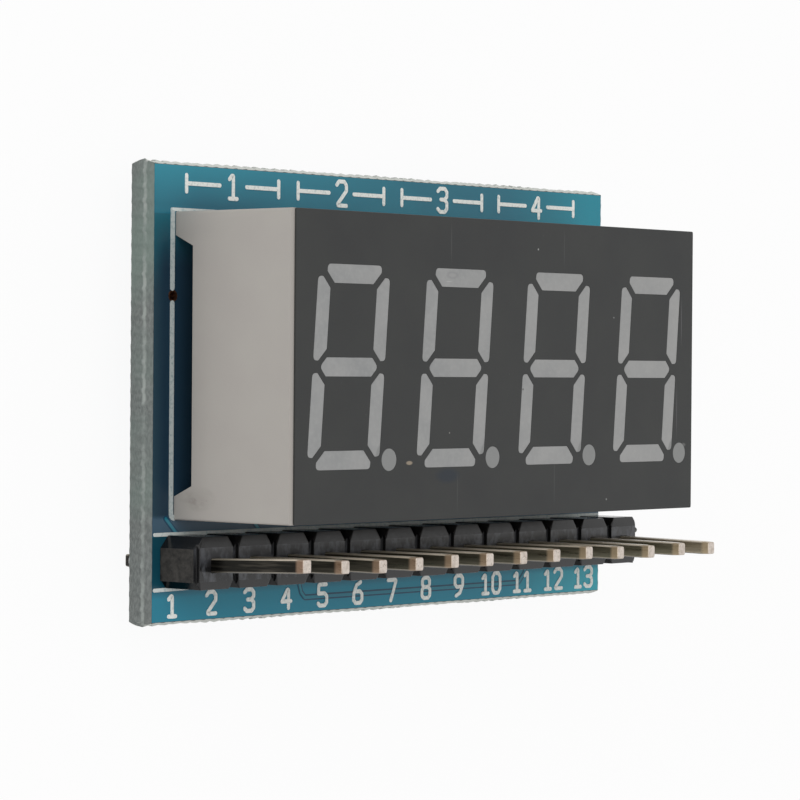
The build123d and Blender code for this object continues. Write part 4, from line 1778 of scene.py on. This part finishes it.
    def build(self) -> None:
        """Builds and dresses the back."""
        tracks = self.tracks()
        self.board.lines("back_gaps", tracks, Side.BACK, Layer.GAP, self.gap_width, GAP_MASK)
        self.board.lines("back_tracks", tracks, Side.BACK, Layer.TRACK, self.track_width, TRACK_MASK)
        chip_ends, feet = islands("resistor_terminals"), islands("transistor_leads")
        chip_middle = Box.of("resistor_terminals").centre.y
        self.fillets("chip_fillets", chip_ends, chip_middle, self.chip_wedge)
        self.fillets("lead_fillets", feet, Box.of("digit_transistor_1").centre.y, self.lead_wedge)
        self.joints("header_joints", HEADER_PINS, "header_solder")
        self.joints("display_joints", DISPLAY_PINS, "display_solder")
        packages = numbered("digit_transistor_{}", 4)
        bodies = softened(packages, self.package_edge, "packages")
        add_piece("transistor_packages", bodies, PACKAGE, packages)
        leads = softened(["transistor_leads"], self.chip_edge, "leads")
        add_piece("package_leads", leads, TIN, ["transistor_leads"])
        chips = numbered("base_resistor_{}", 4) + numbered("segment_resistor_{}", 8)
        finish = ChipCeramic("chip_ceramic", Box.of(chips[0]).low.z + self.glaze_depth)
        bodies = softened(chips, self.chip_edge, "chips")
        add_piece("resistor_bodies", bodies, finish, chips)
        ends = softened(["resistor_terminals"], self.chip_edge, "ends")
        add_piece("resistor_ends", ends, TIN, ["resistor_terminals"])


@dataclass(frozen=True)
class SoftBox:
    """A square studio light."""

    name: str
    place: tuple[float, float, float]
    aim: tuple[float, float, float]
    size: float
    level: float

    def build(self) -> None:
        """Hangs the light, as bright at its aim as its level says."""
        lamp = bpy.data.lights.new(self.name, "AREA")
        lamp.shape = "SQUARE"
        lamp.size = self.size * MM
        way = Vector(self.aim) - Vector(self.place)
        lamp.energy = self.level * (math.pi * way.length * MM) ** 2
        holder = bpy.data.objects.new(self.name, lamp)
        holder.location = Vector(self.place) * MM
        holder.rotation_euler = way.to_track_quat("-Z", "Y").to_euler()
        bpy.context.scene.collection.objects.link(holder)


@dataclass
class Studio:
    """The white sweep that the module lies on, its lights and the camera."""

    eye: tuple[float, float, float] = (-123.02, 1.19, 109.76)
    turn: tuple[float, float, float] = (-1.0204, -49.2299, 0.6377)
    lens: float = 150.0
    floor_reach: float = 6000.0
    ambient: float = 0.5
    glow_share: float = 0.93

    def shows(self, tree: bpy.types.NodeTree) -> Socket:
        """1 for rays that show the background itself, to the eye or in metal and glass."""
        path = tree.nodes.new("ShaderNodeLightPath")
        seen = path.outputs["Is Camera Ray"]
        for other in ("Is Glossy Ray", "Is Transmission Ray"):
            node = tree.nodes.new("ShaderNodeMath")
            node.operation = "MAXIMUM"
            tree.links.new(seen, node.inputs[0])
            tree.links.new(path.outputs[other], node.inputs[1])
            seen = node.outputs[0]
        return seen

    def world(self) -> None:
        """White all round, as a backdrop and as even light."""
        world = bpy.data.worlds.new("sweep")
        world.use_nodes = True
        tree = world.node_tree
        even = tree.nodes["Background"]
        even.inputs["Color"].default_value = (1, 1, 1, 1)
        even.inputs["Strength"].default_value = self.ambient
        white = tree.nodes.new("ShaderNodeBackground")
        mix = tree.nodes.new("ShaderNodeMixShader")
        white.inputs["Color"].default_value = (1, 1, 1, 1)
        tree.links.new(self.shows(tree), mix.inputs[0])
        tree.links.new(even.outputs[0], mix.inputs[1])
        tree.links.new(white.outputs[0], mix.inputs[2])
        tree.links.new(mix.outputs[0], tree.nodes["World Output"].inputs["Surface"])
        bpy.context.scene.world = world

    def floor(self) -> None:
        """A white floor that keeps the module's shadow."""
        reach = self.floor_reach * MM
        data = bpy.data.meshes.new("sweep_floor")
        corners = [(-reach, -reach, 0), (reach, -reach, 0), (reach, reach, 0), (-reach, reach, 0)]
        data.from_pydata(corners, [], [(0, 1, 2, 3)])
        look = bpy.data.materials.new("sweep_floor")
        look.use_nodes = True
        tree = look.node_tree
        tree.nodes.remove(tree.nodes["Principled BSDF"])
        matte = tree.nodes.new("ShaderNodeBsdfDiffuse")
        glow = tree.nodes.new("ShaderNodeEmission")
        mix = tree.nodes.new("ShaderNodeMixShader")
        part = tree.nodes.new("ShaderNodeMath")
        part.operation = "MULTIPLY"
        part.inputs[1].default_value = self.glow_share
        matte.inputs["Color"].default_value = (0.92, 0.92, 0.92, 1)
        tree.links.new(self.shows(tree), part.inputs[0])
        tree.links.new(part.outputs[0], mix.inputs[0])
        tree.links.new(matte.outputs[0], mix.inputs[1])
        tree.links.new(glow.outputs[0], mix.inputs[2])
        tree.links.new(mix.outputs[0], tree.nodes["Material Output"].inputs["Surface"])
        data.materials.append(look)
        floor = bpy.data.objects.new("sweep_floor", data)
        bpy.context.scene.collection.objects.link(floor)

    def camera(self) -> None:
        """The camera, where the photograph was taken from."""
        view = bpy.data.cameras.new("camera")
        view.lens = self.lens
        view.clip_start = 10 * MM
        holder = bpy.data.objects.new("camera", view)
        holder.location = Vector(self.eye) * MM
        holder.rotation_euler = Euler([math.radians(angle) for angle in self.turn])
        bpy.context.scene.collection.objects.link(holder)
        bpy.context.scene.camera = holder

    def build(self) -> None:
        """Sets the stage."""
        bpy.context.scene.view_settings.view_transform = "Standard"
        self.world()
        self.floor()
        self.camera()
        SoftBox("key_light", (-220, 130, 210), (0, 0, 5), 380, 0.54).build()
        SoftBox("fill_light", (200, -70, 230), (0, 0, 5), 380, 0.16).build()


def main() -> None:
    """Builds the module's sub-assemblies and the studio, in order."""
    logging.basicConfig(level=logging.INFO, format="%(message)s")
    board = CarrierBoard()
    for part in (board, PinHeader(), DigitDisplay(), DriverSide(board), Studio()):
        LOG.info("building %s", type(part).__name__)
        part.build()


if __name__ == "__main__":
    main()
